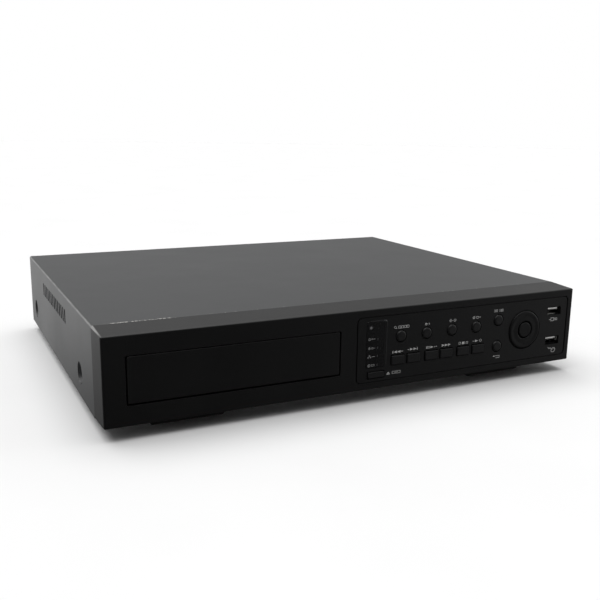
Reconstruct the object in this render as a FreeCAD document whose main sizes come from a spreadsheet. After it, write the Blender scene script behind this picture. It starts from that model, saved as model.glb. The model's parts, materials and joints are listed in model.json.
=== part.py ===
import FreeCAD, Part
import math
import os
import Sketcher
from FreeCAD import Vector

# Desktop video recorder: folded steel case, moulded front bezel with a
# sliding disc tray and a keypad, drives and boards inside, sockets behind.
#
# Row frame: +X to the right seen from the front, +Y to the back, +Z up,
# origin at the middle of the footprint, on the surface under the feet.
# Most pieces are drawn from the bench datum, the point where the bezel meets
# the case (Y = 0), on the centre line (X = 0), at the underside of the pan
# (Z = 0), and are carried into the row frame by their Placement.

doc = FreeCAD.newDocument("recorder")

# ---------------------------------------------------------------- dimensions
TABLE = [
    ("case_width", 380.0, "outside width of the cover"),
    ("cover_depth", 285.5, "bezel seam to the back edge of the cover"),
    ("case_height", 61.7, "underside of the pan to the top of the cover"),
    ("bezel_depth", 25.2, "bezel seam to its front face"),
    ("foot_height", 8.3, "foot block"),
    ("sheet", 1.0, "steel sheet"),
    ("bend_radius", 1.5, "outside radius of the cover's folds"),
    ("key_reach", 0.9, "farthest key stands proud of the bezel face"),
    ("socket_reach", 12.0, "camera sockets stand behind the cover"),
    ("bezel_wall", 2.5, "bezel front wall"),
    ("bezel_side_in", 0.43, "bezel draft, each side"),
    ("bezel_top_in", 1.33, "bezel draft, top"),
    ("bezel_under_in", 1.08, "bezel draft, underside"),
    ("bay_left", -174.5, "middle of the gap round the tray front"),
    ("bay_right", -24.5, "middle of the gap"),
    ("bay_low", 14.9, "middle of the gap"),
    ("bay_high", 46.5, "middle of the gap"),
    ("bay_gap", 1.0, "gap round the tray front"),
    ("bay_lift", 0.25, "the tray front sits above the middle of its opening"),
    ("plate_left", -11.05, "control plate edge, middle of the gap"),
    ("plate_right", 184.55, "control plate edge, middle of the gap"),
    ("plate_low", 6.45, "control plate edge, middle of the gap"),
    ("plate_high", 54.65, "control plate edge, middle of the gap"),
    ("plate_gap", 0.5, "gap over and under the control plate"),
    ("plate_side_gap", 0.95, "gap at each end of the control plate"),
    ("plate_inset", 0.2, "plate face behind the bezel face"),
    ("plate_thick", 2.0, "control plate"),
    ("plate_corner", 3.5, "control plate corner radius"),
    ("key_radius", 4.3, "round key cap"),
    ("key_gap", 0.5, "round key to its hole"),
    ("key_wide", 11.0, "oblong key cap"),
    ("key_tall", 6.8, "oblong key cap"),
    ("slot_gap", 0.6, "oblong key to its hole"),
    ("key_proud", 0.9, "key cap before the control plate"),
    ("key_stem", 9.1, "plate face to the end of a key stem"),
    ("plunger_tip", 10.0, "plate face to the tip of a switch plunger"),
    ("board_face", 15.0, "plate face to the keypad board"),
    ("upper_row", 38.2, "round keys"),
    ("lower_row", 20.8, "oblong keys"),
    ("nav_across", 141.2, "navigation ring centre"),
    ("nav_up", 31.1, "navigation ring centre"),
    ("nav_outer", 15.15, "navigation ring"),
    ("nav_inner", 7.0, "navigation ring"),
    ("nav_pivot", 6.0, "plate face to the tilting axes"),
    ("select_radius", 6.0, "middle key"),
    ("pin_radius", 0.8, "gimbal pin"),
    ("pin_play", 0.05, "gimbal pin to its hole"),
    ("tray_middle", -99.5, "disc tray centre line"),
    ("tray_width", 129.0, "disc tray"),
    ("tray_floor", 27.0, "underside of the disc tray"),
    ("tray_thick", 5.0, "disc tray"),
    ("tray_back", 150.0, "back edge of the disc tray"),
    ("disc_radius", 60.5, "disc well"),
    ("disc_middle", 48.5, "disc well centre"),
    ("drive_left", -172.5, "optical drive case"),
    ("drive_right", -26.5, "optical drive case"),
    ("drive_front", 2.0, "optical drive case"),
    ("drive_back", 172.0, "optical drive case"),
    ("drive_low", 6.0, "optical drive case"),
    ("drive_high", 46.3, "optical drive case under its lid"),
    ("disk_left", 60.0, "hard drive"),
    ("disk_wide", 101.6, "hard drive"),
    ("disk_front", 12.0, "hard drive"),
    ("disk_long", 147.0, "hard drive"),
    ("disk_low", 5.2, "hard drive"),
    ("disk_tall", 26.1, "hard drive"),
    ("board_low", 8.0, "underside of the main board"),
    ("board_thick", 1.6, "circuit boards"),
    ("board_left", -130.0, "main board"),
    ("board_right", 150.0, "main board"),
    ("board_front", 178.0, "main board"),
    ("board_back", 282.0, "main board"),
    ("socket_first", -118.0, "first camera socket"),
    ("socket_pitch", 17.5, "camera sockets"),
    ("socket_low", 18.0, "lower row of sockets"),
    ("socket_up", 41.0, "upper row of sockets"),
    ("barrel_radius", 4.85, "camera socket barrel"),
    ("fan_across", -164.0, "fan centre"),
    ("fan_up", 27.0, "fan centre"),
    ("fan_size", 40.0, "fan frame"),
    ("fan_deep", 10.0, "fan frame"),
    ("power_across", 172.0, "power inlet and switch"),
    ("foot_across", 129.0, "foot centre from the centre line"),
    ("foot_wide", 52.0, "foot block"),
    ("foot_long", 22.0, "foot block"),
    ("foot_front", -5.7, "front feet, front face"),
    ("foot_rear", 245.0, "rear feet, front face"),
    ("dish_low", 17.0, "side screw dish height"),
    ("dish_front", 46.0, "front side screw dish"),
    ("dish_rear", 256.0, "rear side screw dish"),
    ("dish_deep", 4.4, "side screw dish depth"),
    ("vent_first", 96.0, "first side vent"),
    ("vent_run", 104.0, "first side vent to the last"),
    ("vent_low", 40.3, "side vents"),
    ("vent_high", 51.0, "side vents"),
]

sheet = doc.addObject("Spreadsheet::Sheet", "Dims")


class Dim:
    """A length that knows both its value and its spreadsheet expression."""

    def __init__(self, value, text):
        self.value = float(value)
        self.text = text

    def __add__(self, other):
        return Dim(self.value + num(other), "(%s + %s)" % (self.text, txt(other)))

    def __radd__(self, other):
        return Dim(num(other) + self.value, "(%s + %s)" % (txt(other), self.text))

    def __sub__(self, other):
        return Dim(self.value - num(other), "(%s - %s)" % (self.text, txt(other)))

    def __rsub__(self, other):
        return Dim(num(other) - self.value, "(%s - %s)" % (txt(other), self.text))

    def __mul__(self, other):
        return Dim(self.value * num(other), "(%s * %s)" % (self.text, txt(other)))

    __rmul__ = __mul__

    def __truediv__(self, other):
        return Dim(self.value / num(other), "(%s / %s)" % (self.text, txt(other)))

    def __neg__(self):
        return Dim(-self.value, "(0 - %s)" % self.text)


def num(item):
    return item.value if isinstance(item, Dim) else float(item)


def txt(item):
    if isinstance(item, Dim):
        return item.text
    return "(%.6f)" % float(item) if float(item) < 0 else "%.6f" % float(item)


class Cells:
    pass


S = Cells()
for row, (alias, value, note) in enumerate(TABLE, start=1):
    sheet.set("A%d" % row, alias)
    sheet.set("B%d" % row, repr(value))
    sheet.set("C%d" % row, note)
    sheet.setAlias("B%d" % row, alias)
    setattr(S, alias, Dim(value, "Dims." + alias))
doc.recompute()

HALF = S.case_width / 2
# the bench datum in the row frame: the footprint's middle is the origin
SEAM = -(S.cover_depth + S.socket_reach - S.bezel_depth - S.key_reach) / 2
DECK = S.foot_height
FACE = -S.bezel_depth                      # bezel face, from the seam
PLATE = FACE + S.plate_inset               # control plate face
PLATE_BACK = PLATE + S.plate_thick
KEYBOARD = PLATE + S.board_face            # keypad board face
PANEL = S.cover_depth - 1.1                # outside of the rear panel

NODES = []


# ------------------------------------------------------------------- helpers
def bind(obj, prop, item):
    """Set a property, by expression when it comes from the sheet."""
    if isinstance(item, Dim):
        obj.setExpression(prop, item.text)


def settle(obj, across, back, up):
    """Placement of a sub-part, bound to the sheet."""
    obj.Placement = FreeCAD.Placement(
        Vector(num(across), num(back), num(up)), FreeCAD.Rotation())
    bind(obj, ".Placement.Base.x", across)
    bind(obj, ".Placement.Base.y", back)
    bind(obj, ".Placement.Base.z", up)


def piece(name, across=0.0, back=None, up=None):
    """A new PartDesign body at the bench datum, or at a datum of its own."""
    item = doc.addObject("PartDesign::Body", name)
    item.Label = name
    settle(item, across, SEAM if back is None else back, DECK if up is None else up)
    NODES.append(item)
    return item


def keep(item, name, across=0.0, back=None, up=None):
    """The last object of a boolean chain becomes a sub-part."""
    item.Label = name
    settle(item, across, SEAM if back is None else back, DECK if up is None else up)
    NODES.append(item)
    return item


def origin_plane(body, role):
    for feature in body.Origin.OriginFeatures:
        if feature.Role == role:
            return feature
    raise RuntimeError("no " + role)


counter = [0]


def new_sketch(body, plane, level):
    """A sketch on XY, XZ or YZ of the body, level along that plane's axis."""
    counter[0] += 1
    sk = body.newObject("Sketcher::SketchObject", "Sketch%d" % counter[0])
    sk.AttachmentSupport = [(origin_plane(body, plane + "_Plane"), "")]
    sk.MapMode = "FlatFace"
    shift = -level if plane == "XZ" else level
    sk.AttachmentOffset = FreeCAD.Placement(Vector(0, 0, num(shift)), FreeCAD.Rotation())
    bind(sk, ".AttachmentOffset.Base.z", shift)
    return sk


def fix_point(sk, geo, pos, px, py):
    """Pin a point to the sketch origin by two signed distances."""
    for kind, item in (("DistanceX", px), ("DistanceY", py)):
        index = sk.addConstraint(Sketcher.Constraint(kind, -1, 1, geo, pos, num(item)))
        bind(sk, "Constraints[%d]" % index, item)


def outline(sk, points):
    """A closed polygon with each corner pinned."""
    count = len(points)
    spots = [Vector(num(a), num(b), 0) for a, b in points]
    geos = sk.addGeometry([Part.LineSegment(spots[i], spots[(i + 1) % count])
                           for i in range(count)], False)
    sk.addConstraint([Sketcher.Constraint("Coincident", geos[i], 2, geos[(i + 1) % count], 1)
                      for i in range(count)])
    for i in range(count):
        fix_point(sk, geos[i], 1, points[i][0], points[i][1])


def box_outline(sk, x0, y0, x1, y1):
    a, b, c, d = num(x0), num(y0), num(x1), num(y1)
    g = sk.addGeometry([
        Part.LineSegment(Vector(a, b, 0), Vector(c, b, 0)),
        Part.LineSegment(Vector(c, b, 0), Vector(c, d, 0)),
        Part.LineSegment(Vector(c, d, 0), Vector(a, d, 0)),
        Part.LineSegment(Vector(a, d, 0), Vector(a, b, 0))], False)
    k = Sketcher.Constraint
    sk.addConstraint([
        k("Coincident", g[0], 2, g[1], 1), k("Coincident", g[1], 2, g[2], 1),
        k("Coincident", g[2], 2, g[3], 1), k("Coincident", g[3], 2, g[0], 1),
        k("Horizontal", g[0]), k("Horizontal", g[2]),
        k("Vertical", g[1]), k("Vertical", g[3])])
    fix_point(sk, g[0], 1, x0, y0)
    fix_point(sk, g[1], 2, x1, y1)


def round_outline(sk, x0, y0, x1, y1, r):
    """A rectangle with four equal corner arcs."""
    a, b, c, d, q = num(x0), num(y0), num(x1), num(y1), num(r)
    corners = [(c - q, b + q, -90), (c - q, d - q, 0), (a + q, d - q, 90), (a + q, b + q, 180)]
    lines = [Part.LineSegment(Vector(a + q, b, 0), Vector(c - q, b, 0)),
             Part.LineSegment(Vector(c, b + q, 0), Vector(c, d - q, 0)),
             Part.LineSegment(Vector(c - q, d, 0), Vector(a + q, d, 0)),
             Part.LineSegment(Vector(a, d - q, 0), Vector(a, b + q, 0))]
    arcs = [Part.ArcOfCircle(Part.Circle(Vector(u, v, 0), Vector(0, 0, 1), q),
                             math.radians(w), math.radians(w + 90)) for u, v, w in corners]
    g = sk.addGeometry(lines, False)
    e = sk.addGeometry(arcs, False)
    k = Sketcher.Constraint
    links = []
    for i in range(4):
        links.append(k("Tangent", g[i], 2, e[i], 1))
        links.append(k("Tangent", e[i], 2, g[(i + 1) % 4], 1))
    links += [k("Horizontal", g[0]), k("Vertical", g[1]), k("Horizontal", g[2]), k("Vertical", g[3]),
              k("Equal", e[0], e[1]), k("Equal", e[1], e[2]), k("Equal", e[2], e[3])]
    sk.addConstraint(links)
    index = sk.addConstraint(k("Radius", e[0], q))
    bind(sk, "Constraints[%d]" % index, r)
    index = sk.addConstraint(k("DistanceX", -1, 1, g[3], 1, a))
    bind(sk, "Constraints[%d]" % index, x0)
    index = sk.addConstraint(k("DistanceX", -1, 1, g[1], 1, c))
    bind(sk, "Constraints[%d]" % index, x1)
    index = sk.addConstraint(k("DistanceY", -1, 1, g[0], 1, b))
    bind(sk, "Constraints[%d]" % index, y0)
    index = sk.addConstraint(k("DistanceY", -1, 1, g[2], 1, d))
    bind(sk, "Constraints[%d]" % index, y1)


def circle_outline(sk, cx, cy, r):
    g = sk.addGeometry(Part.Circle(Vector(num(cx), num(cy), 0), Vector(0, 0, 1), num(r)), False)
    fix_point(sk, g, 3, cx, cy)
    index = sk.addConstraint(Sketcher.Constraint("Radius", g, num(r)))
    bind(sk, "Constraints[%d]" % index, r)


def draw(sk, shapes):
    for shape in shapes:
        kind, rest = shape[0], shape[1:]
        if kind == "box":
            box_outline(sk, *rest)
        elif kind == "round":
            round_outline(sk, *rest)
        elif kind == "circle":
            circle_outline(sk, *rest)
        else:
            outline(sk, rest[0])


def add(body, plane, low, high, shapes):
    """Pad the shapes from low to high along the plane's own axis."""
    sk = new_sketch(body, plane, high if plane == "XZ" else low)
    draw(sk, shapes)
    pad = body.newObject("PartDesign::Pad", "Pad%d" % counter[0])
    pad.Profile = sk
    pad.Length = num(high) - num(low)
    if isinstance(low, Dim) or isinstance(high, Dim):
        bind(pad, "Length", high - low)
    sk.Visibility = False
    return pad


def cut(body, plane, low, high, shapes):
    """Pocket the shapes from low to high along the plane's own axis."""
    sk = new_sketch(body, plane, low if plane == "XZ" else high)
    draw(sk, shapes)
    pocket = body.newObject("PartDesign::Pocket", "Pocket%d" % counter[0])
    pocket.Profile = sk
    pocket.Length = num(high) - num(low)
    if isinstance(low, Dim) or isinstance(high, Dim):
        bind(pocket, "Length", high - low)
    sk.Visibility = False
    return pocket


def turn(body, plane, level, points, axis):
    """Revolve a profile about the sketch's V or H axis."""
    sk = new_sketch(body, plane, level)
    outline(sk, points)
    spin = body.newObject("PartDesign::Revolution", "Turn%d" % counter[0])
    spin.Profile = sk
    spin.ReferenceAxis = (sk, [axis])
    spin.Angle = 360.0
    sk.Visibility = False
    return spin


def row_of(body, features, axis_role, length, count):
    """Linear pattern of features along one of the body's own axes."""
    lane = body.newObject("PartDesign::LinearPattern", "Row%d" % counter[0])
    lane.Originals = features
    lane.Direction = (origin_plane(body, axis_role), [""])
    lane.Length = num(length)
    bind(lane, "Length", length)
    lane.Occurrences = count
    body.Tip = lane
    return lane


def flip(body, features, role="YZ_Plane"):
    """Mirror features across one of the body's own planes."""
    other = body.newObject("PartDesign::Mirrored", "Mirror%d" % counter[0])
    other.Originals = features
    other.MirrorPlane = (origin_plane(body, role), [""])
    body.Tip = other
    return other


def soften(body, radius, test, name="Fillet"):
    """Fillet the edges of the body's tip whose points all pass the test."""
    doc.recompute()
    base = body.Tip
    shape = base.Shape
    picked = []
    for i, edge in enumerate(shape.Edges, start=1):
        a, b = edge.ParameterRange
        points = [edge.valueAt(a), edge.valueAt(b), edge.valueAt((a + b) / 2)]
        if all(test(p) for p in points):
            picked.append("Edge%d" % i)
    if not picked:
        raise RuntimeError("no edges to soften on " + body.Label)
    kind = "PartDesign::Chamfer" if name == "Chamfer" else "PartDesign::Fillet"
    feature = body.newObject(kind, name)
    feature.Base = (base, picked)
    prop = "Size" if name == "Chamfer" else "Radius"
    setattr(feature, prop, num(radius))
    bind(feature, prop, radius)
    doc.recompute()
    return feature


def near(a, b, tol=0.02):
    return abs(a - num(b)) < tol


# ----------------------------------------------------------------- steel pan
pan = piece("base_pan")
side = HALF - S.sheet - 0.2
back_edge = S.cover_depth - 2.2
add(pan, "XY", 0, S.sheet, [("box", -side, 0.5, side, back_edge)])
add(pan, "XZ", 0.5, 0.5 + S.sheet, [("box", -side + 1, 0.5, side - 1, S.case_height - 3.0)])
add(pan, "XY", 0.5, 6.0, [("box", -side, 0.5, -side + S.sheet, back_edge),
                          ("box", side - S.sheet, 0.5, side, back_edge)])
# lanced tabs that take the cover's side screws
tab_out = HALF - S.dish_deep - S.sheet
add(pan, "XY", 0.5, 27.0, [
    ("box", sx * tab_out if sx < 0 else tab_out - S.sheet, sy - 9,
     sx * tab_out + S.sheet if sx < 0 else tab_out, sy + 9)
    for sx in (-1, 1) for sy in (S.dish_front, S.dish_rear)])
cut(pan, "YZ", -HALF, HALF, [("circle", S.dish_front, S.dish_low, 1.5),
                             ("circle", S.dish_rear, S.dish_low, 1.5)])
# front wall: bay, cable window, bezel screw holes
BEZEL_SCREWS = [(-181.5, 12.0), (-181.5, 50.0), (-18.0, 12.0), (-18.0, 50.0),
                (185.2, 18.0), (185.2, 46.0)]
cut(pan, "XZ", 0, 2.0, [("box", S.drive_left + 1.5, 13.0, S.drive_right - 1.5, 45.0),
                        ("box", 26.0, 34.0, 60.0, 51.0)]
    + [("circle", bx, bz, 1.6) for bx, bz in BEZEL_SCREWS])
# floor: foot screws, cradle screws, air slots
FOOT_SCREWS = [(sx * S.foot_across, fy) for sx in (-1, 1)
               for fy in (S.foot_front + 14.0, S.foot_rear + 11.0)]
CRADLE_SCREWS = [(52.5, 35.0), (52.5, 135.0), (169.1, 35.0), (169.1, 135.0)]
cut(pan, "XY", -0.5, 1.5, [("circle", fx, fy, 1.6) for fx, fy in FOOT_SCREWS]
    + [("circle", cx, cy, 1.5) for cx, cy in CRADLE_SCREWS])
slot = cut(pan, "XY", -0.5, 1.5, [("round", -16.0, 196.0, -12.5, 232.0, 1.7)])
row_of(pan, [slot], "X_Axis", 56.0, 8)

# ------------------------------------------------------------- folded cover
cover = piece("top_cover")
add(cover, "XZ", 0, S.cover_depth, [("box", -HALF, 0.2, HALF, S.case_height)])
soften(cover, S.bend_radius, lambda p: near(p.z, S.case_height) and near(abs(p.x), HALF))
cut(cover, "XZ", -1, S.cover_depth + 1,
    [("box", -HALF + S.sheet, -1, HALF - S.sheet, S.case_height - S.sheet)])
soften(cover, 0.5, lambda p: near(p.z, S.case_height - S.sheet) and near(abs(p.x), HALF - S.sheet))
add(cover, "XZ", S.cover_depth - S.sheet, S.cover_depth,
    [("box", -HALF + 2.0, 52.7, HALF - 2.0, S.case_height - S.sheet + 0.3)])
COVER_BACK = [-150.0, 0.0, 150.0]
cut(cover, "XZ", S.cover_depth - 2, S.cover_depth + 1,
    [("circle", bx, 56.0, 1.6) for bx in COVER_BACK])
# upright air slots, both sides
v0, v1 = S.vent_low, S.vent_high
slot = cut(cover, "YZ", -HALF - 1, HALF + 1,
           [("box", S.vent_first - 0.5, v0, S.vent_first + 3.9, v1)])
row_of(cover, [slot], "Y_Axis", S.vent_run, 14)
# dished screw seats, two a side
for sx in (-1, 1):
    for sy in (S.dish_front, S.dish_rear):
        cut(cover, "YZ", -HALF - 1 if sx < 0 else HALF - 3.0,
            -HALF + 3.0 if sx < 0 else HALF + 1, [("circle", sy, S.dish_low, 8.6)])
        sk = new_sketch(cover, "XY", S.dish_low)
        face, floor = sx * HALF, sx * (HALF - S.dish_deep)
        outline(sk, [(face, sy + 8.1), (face, sy + 9.0), (face - sx * S.sheet, sy + 9.0),
                     (floor - sx * S.sheet, sy + 7.5), (floor - sx * S.sheet, sy + 1.7),
                     (floor, sy + 1.7), (floor, sy + 6.6)])
        axis = sk.addGeometry(Part.LineSegment(Vector(num(face) - sx * 8, num(sy), 0),
                                               Vector(num(face) + sx * 2, num(sy), 0)), True)
        sk.addConstraint(Sketcher.Constraint("Horizontal", axis))
        fix_point(sk, axis, 1, face - sx * 8, sy)
        spin = cover.newObject("PartDesign::Revolution", "Dish%d" % counter[0])
        spin.Profile = sk
        spin.ReferenceAxis = (sk, ["Axis0"])
        spin.Angle = 360.0
        doc.recompute()

# --------------------------------------------------------------- rear panel
rear = piece("rear_panel")
edge = HALF - S.sheet - 0.5
top_in = S.case_height - S.sheet - 0.1
add(rear, "XZ", PANEL - S.sheet, PANEL, [("box", -edge, 1.1, edge, top_in)])
add(rear, "XY", 1.1, 1.1 + S.sheet, [("box", -edge + 2, PANEL - 11.0, edge - 2, PANEL - 0.5)])
add(rear, "XY", top_in - S.sheet, top_in, [("box", -edge + 2, PANEL - 9.0, edge - 2, PANEL - 0.5)])
cut(rear, "XZ", PANEL - 2, PANEL + 1, [("circle", bx, 56.0, 1.5) for bx in COVER_BACK])
holes = cut(rear, "XZ", PANEL - 2, PANEL + 1,
            [("circle", S.socket_first, S.socket_low, S.barrel_radius + 0.15),
             ("circle", S.socket_first, S.socket_up, S.barrel_radius + 0.15)])
row_of(rear, [holes], "X_Axis", S.socket_pitch * 7, 8)
board_hole = S.board_low + S.board_thick - 0.2
AUDIO = [(24.0, S.socket_low), (39.0, S.socket_low), (24.0, S.socket_up), (39.0, S.socket_up)]
cut(rear, "XZ", PANEL - 2, PANEL + 1,
    [("circle", ax, az, 4.3) for ax, az in AUDIO]
    + [("circle", S.fan_across + i * 16.0, S.fan_up + j * 16.0, 1.7) for i in (-1, 1) for j in (-1, 1)]
    + [("box", 92.0, board_hole, 108.2, 24.9), ("box", 62.4, 33.2, 77.6, 38.8),
       ("poly", [(60.4, 22.2), (79.6, 22.2), (78.0, 12.8), (62.0, 12.8)]),
       ("circle", 57.5, 17.5, 2.4), ("circle", 82.5, 17.5, 2.4),
       ("box", 118.7, board_hole, 145.3, 22.3),
       ("circle", S.power_across, S.socket_low, 5.9),
       ("box", S.power_across - 6.6, S.socket_up - 9.7, S.power_across + 6.6, S.socket_up + 9.7)])
cut(rear, "XZ", PANEL - 2, PANEL + 1,
    [("round", S.fan_across - run, S.fan_up + lift - 1.5, S.fan_across + run, S.fan_up + lift + 1.5, 1.4)
     for lift, run in ((-14.0, 9.0), (-8.5, 15.0), (-3.0, 17.0), (3.0, 17.0), (8.5, 15.0), (14.0, 9.0))])

# ------------------------------------------------------------ moulded bezel
bezel = piece("front_fascia")
sk_back = new_sketch(bezel, "XZ", 0.0)
box_outline(sk_back, -HALF, 0.0, HALF, S.case_height)
sk_face = new_sketch(bezel, "XZ", FACE)
box_outline(sk_face, -HALF + S.bezel_side_in, S.bezel_under_in,
            HALF - S.bezel_side_in, S.case_height - S.bezel_top_in)
loft = bezel.newObject("PartDesign::AdditiveLoft", "Taper")
loft.Profile = sk_back
loft.Sections = [sk_face]
loft.Ruled = True
soften(bezel, 1.1, lambda p: (near(p.y, FACE, 0.05)) or
       (abs(abs(p.x) - num(HALF)) < 0.5 and (p.z < 1.2 or p.z > num(S.case_height) - 1.4)
        and not near(p.y, 0)) or
       (near(p.y, 0) and near(abs(p.x), HALF) and (near(p.z, 0) or near(p.z, S.case_height))))
inner = FACE + S.bezel_wall
cut(bezel, "XZ", inner, 1.0, [("box", -HALF + 2.6, 3.2, HALF - 2.6, S.case_height - 3.6)])
# rebate and ledge for the control plate
add(bezel, "XZ", inner - 0.2, FACE + 4.5, [("box", -14.5, 3.0, HALF - 2.2, S.case_height - 3.4)])
half_gap = S.plate_gap / 2
side_gap = S.plate_side_gap / 2
cut(bezel, "XZ", FACE - 1, PLATE_BACK,
    [("round", S.plate_left - side_gap, S.plate_low - half_gap,
      S.plate_right + side_gap, S.plate_high + half_gap, S.plate_corner + half_gap)])
cut(bezel, "XZ", PLATE_BACK - 0.3, FACE + 6.0, [("round", -8.5, 8.6, 182.0, 52.2, 2.0)])
# collar round the tray opening
half_bay = S.bay_gap / 2
add(bezel, "XZ", inner - 0.2, -3.0,
    [("box", S.bay_left - 2.7, S.bay_low - 2.7, S.bay_right + 2.7, S.bay_high + 2.7)])
cut(bezel, "XZ", FACE - 1, 0.5,
    [("round", S.bay_left - half_bay, S.bay_low - half_bay,
      S.bay_right + half_bay, S.bay_high + half_bay, 1.2)])
# screw bosses
add(bezel, "XZ", inner - 0.2, -0.1, [("circle", bx, bz, 2.9) for bx, bz in BEZEL_SCREWS[:4]])
add(bezel, "XZ", FACE + 4.3, -0.1, [("circle", bx, bz, 2.7) for bx, bz in BEZEL_SCREWS[4:]])
cut(bezel, "XZ", -11.0, 0.5, [("circle", bx, bz, 1.25) for bx, bz in BEZEL_SCREWS])

# ------------------------------------------------------------ control plate
ROUND_KEYS = [("search_button", 25.6, S.upper_row), ("function_button", 48.0, S.upper_row),
              ("ptz_button", 70.8, S.upper_row), ("record_button", 93.4, S.upper_row),
              ("menu_button", 114.6, 41.4), ("escape_button", 114.6, 20.5)]
LONG_KEYS = [("back_button", 23.3), ("next_button", 36.95), ("slow_button", 52.7),
             ("fast_button", 66.3), ("stop_button", 81.8), ("play_button", 95.85)]
EJECT = (5.05, 11.55, 14.1, 4.9)
USB = [(171.2, 43.7), (171.3, 19.2)]
PLATE_SCREWS = [(20.0, 13.4), (20.0, 48.5), (104.0, 13.4), (104.0, 48.5), (170.5, 31.6)]

plate = piece("control_panel")
add(plate, "XZ", PLATE, PLATE_BACK,
    [("round", S.plate_left + side_gap, S.plate_low + half_gap,
      S.plate_right - side_gap, S.plate_high - half_gap, S.plate_corner - half_gap)])
add(plate, "XZ", PLATE_BACK - 0.2, KEYBOARD, [("circle", px, pz, 2.4) for px, pz in PLATE_SCREWS])
for sx in (-1, 1):
    near_edge, far_edge = S.nav_across + sx * 17.4, S.nav_across + sx * 20.4
    add(plate, "XZ", PLATE_BACK - 0.2, PLATE + S.nav_pivot + 2.8,
        [("box", near_edge if sx > 0 else far_edge, S.nav_up - 2.6,
          far_edge if sx > 0 else near_edge, S.nav_up + 2.6)])
cut(plate, "YZ", S.nav_across - 21, S.nav_across + 21,
    [("circle", PLATE + S.nav_pivot, S.nav_up, S.pin_radius + S.pin_play)])
cut(plate, "XZ", PLATE - 1, PLATE_BACK + 0.5,
    [("circle", kx, kz, S.key_radius + S.key_gap) for _, kx, kz in ROUND_KEYS]
    + [("circle", S.nav_across, S.nav_up, S.nav_outer + 0.65)])
cut(plate, "XZ", PLATE - 1, PLATE_BACK + 0.5,
    [("round", kx - S.key_wide / 2 - S.slot_gap, S.lower_row - S.key_tall / 2 - S.slot_gap,
      kx + S.key_wide / 2 + S.slot_gap, S.lower_row + S.key_tall / 2 + S.slot_gap, 0.7)
     for _, kx in LONG_KEYS])
cut(plate, "XZ", PLATE - 1, PLATE_BACK + 0.5,
    [("round", EJECT[0] - EJECT[2] / 2 - 0.4, EJECT[1] - EJECT[3] / 2 - 0.4,
      EJECT[0] + EJECT[2] / 2 + 0.4, EJECT[1] + EJECT[3] / 2 + 0.4, 0.6),
     ("round", -3.75, 16.85, 12.35, 51.55, 1.8)]
    + [("round", ux - 7.0, uz - 3.4, ux + 7.0, uz + 3.4, 0.6) for ux, uz in USB])
cut(plate, "XZ", KEYBOARD - 8.0, KEYBOARD + 0.5, [("circle", px, pz, 0.95) for px, pz in PLATE_SCREWS])

window = piece("status_window")
add(window, "XZ", PLATE - 0.15, PLATE_BACK, [("round", -3.6, 17.0, 12.2, 51.4, 1.7)])
soften(window, 0.4, lambda p: near(p.y, PLATE - 0.15))
add(window, "XZ", PLATE_BACK, PLATE_BACK + 0.9, [("round", -5.0, 15.6, 13.6, 52.0, 1.7)])

# ---------------------------------------------------------------------- keys
for name, kx, kz in ROUND_KEYS:
    key = piece(name, kx, SEAM + PLATE, DECK + kz)
    add(key, "XZ", -S.key_proud, S.plate_thick + 0.1, [("circle", 0.0, 0.0, S.key_radius)])
    soften(key, 1.5, lambda p: near(p.y, -S.key_proud))
    add(key, "XZ", S.plate_thick + 0.1, S.plate_thick + 1.2, [("circle", 0.0, 0.0, S.key_radius + 1.3)])
    add(key, "XZ", S.plate_thick + 1.2, S.key_stem, [("circle", 0.0, 0.0, 1.6)])

for name, kx in LONG_KEYS:
    key = piece(name, kx, SEAM + PLATE, DECK + S.lower_row)
    add(key, "XZ", -S.key_proud, S.plate_thick + 0.1,
        [("round", -S.key_wide / 2, -S.key_tall / 2 - 0.15, S.key_wide / 2, S.key_tall / 2 - 0.15, 0.5)])
    soften(key, 0.6, lambda p: near(p.y, -S.key_proud))
    add(key, "XZ", S.plate_thick + 0.1, S.plate_thick + 1.2,
        [("box", -S.key_wide / 2 - 1.15, -S.key_tall / 2 - 1.0, S.key_wide / 2 + 1.15, S.key_tall / 2 + 1.0)])
    add(key, "XZ", S.plate_thick + 1.2, S.key_stem, [("circle", 0.0, 0.0, 1.6)])

eject = piece("eject_button", EJECT[0], SEAM + PLATE, DECK + EJECT[1])
add(eject, "XZ", -0.6, S.plate_thick + 0.1,
    [("round", -EJECT[2] / 2 + 0.3, -EJECT[3] / 2 + 0.2, EJECT[2] / 2 - 0.3, EJECT[3] / 2 - 0.25, 0.5)])
soften(eject, 0.45, lambda p: near(p.y, -0.6))
add(eject, "XZ", S.plate_thick + 0.1, S.plate_thick + 1.2,
    [("box", -EJECT[2] / 2 - 0.8, -EJECT[3] / 2, EJECT[2] / 2 + 0.8, EJECT[3] / 2)])
add(eject, "XZ", S.plate_thick + 1.2, S.key_stem, [("circle", 0.0, 0.0, 1.6)])

# navigation ring on its gimbal, and the middle key
ring = piece("nav_ring", S.nav_across, SEAM + PLATE, DECK + S.nav_up)
turn(ring, "XY", 0.0, [(S.nav_inner, -0.35), (S.nav_inner + 0.25, -0.65), (S.nav_inner + 0.7, -0.82), (11.0, -0.7),
                       (S.nav_outer - 1.7, -0.9), (S.nav_outer - 1.0, -0.84), (S.nav_outer - 0.4, -0.55),
                       (S.nav_outer - 0.1, -0.2), (S.nav_outer, 0.2),
                       (S.nav_outer, 1.4), (S.nav_inner, 1.4)], "V_Axis")
prong = S.plunger_tip - 0.85
add(ring, "XZ", 1.2, prong, [("box", -2.0, 13.2, 2.0, 14.7), ("box", -2.0, -14.7, 2.0, -13.2)]
    + [("box", min(sx * 13.3, sx * 14.6), min(sz * 1.6, sz * 3.0), max(sx * 13.3, sx * 14.6),
        max(sz * 1.6, sz * 3.0)) for sx in (-1, 1) for sz in (-1, 1)])
add(ring, "XY", 10.2, 13.4, [("circle", 0.0, S.nav_pivot, S.pin_radius)])
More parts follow.
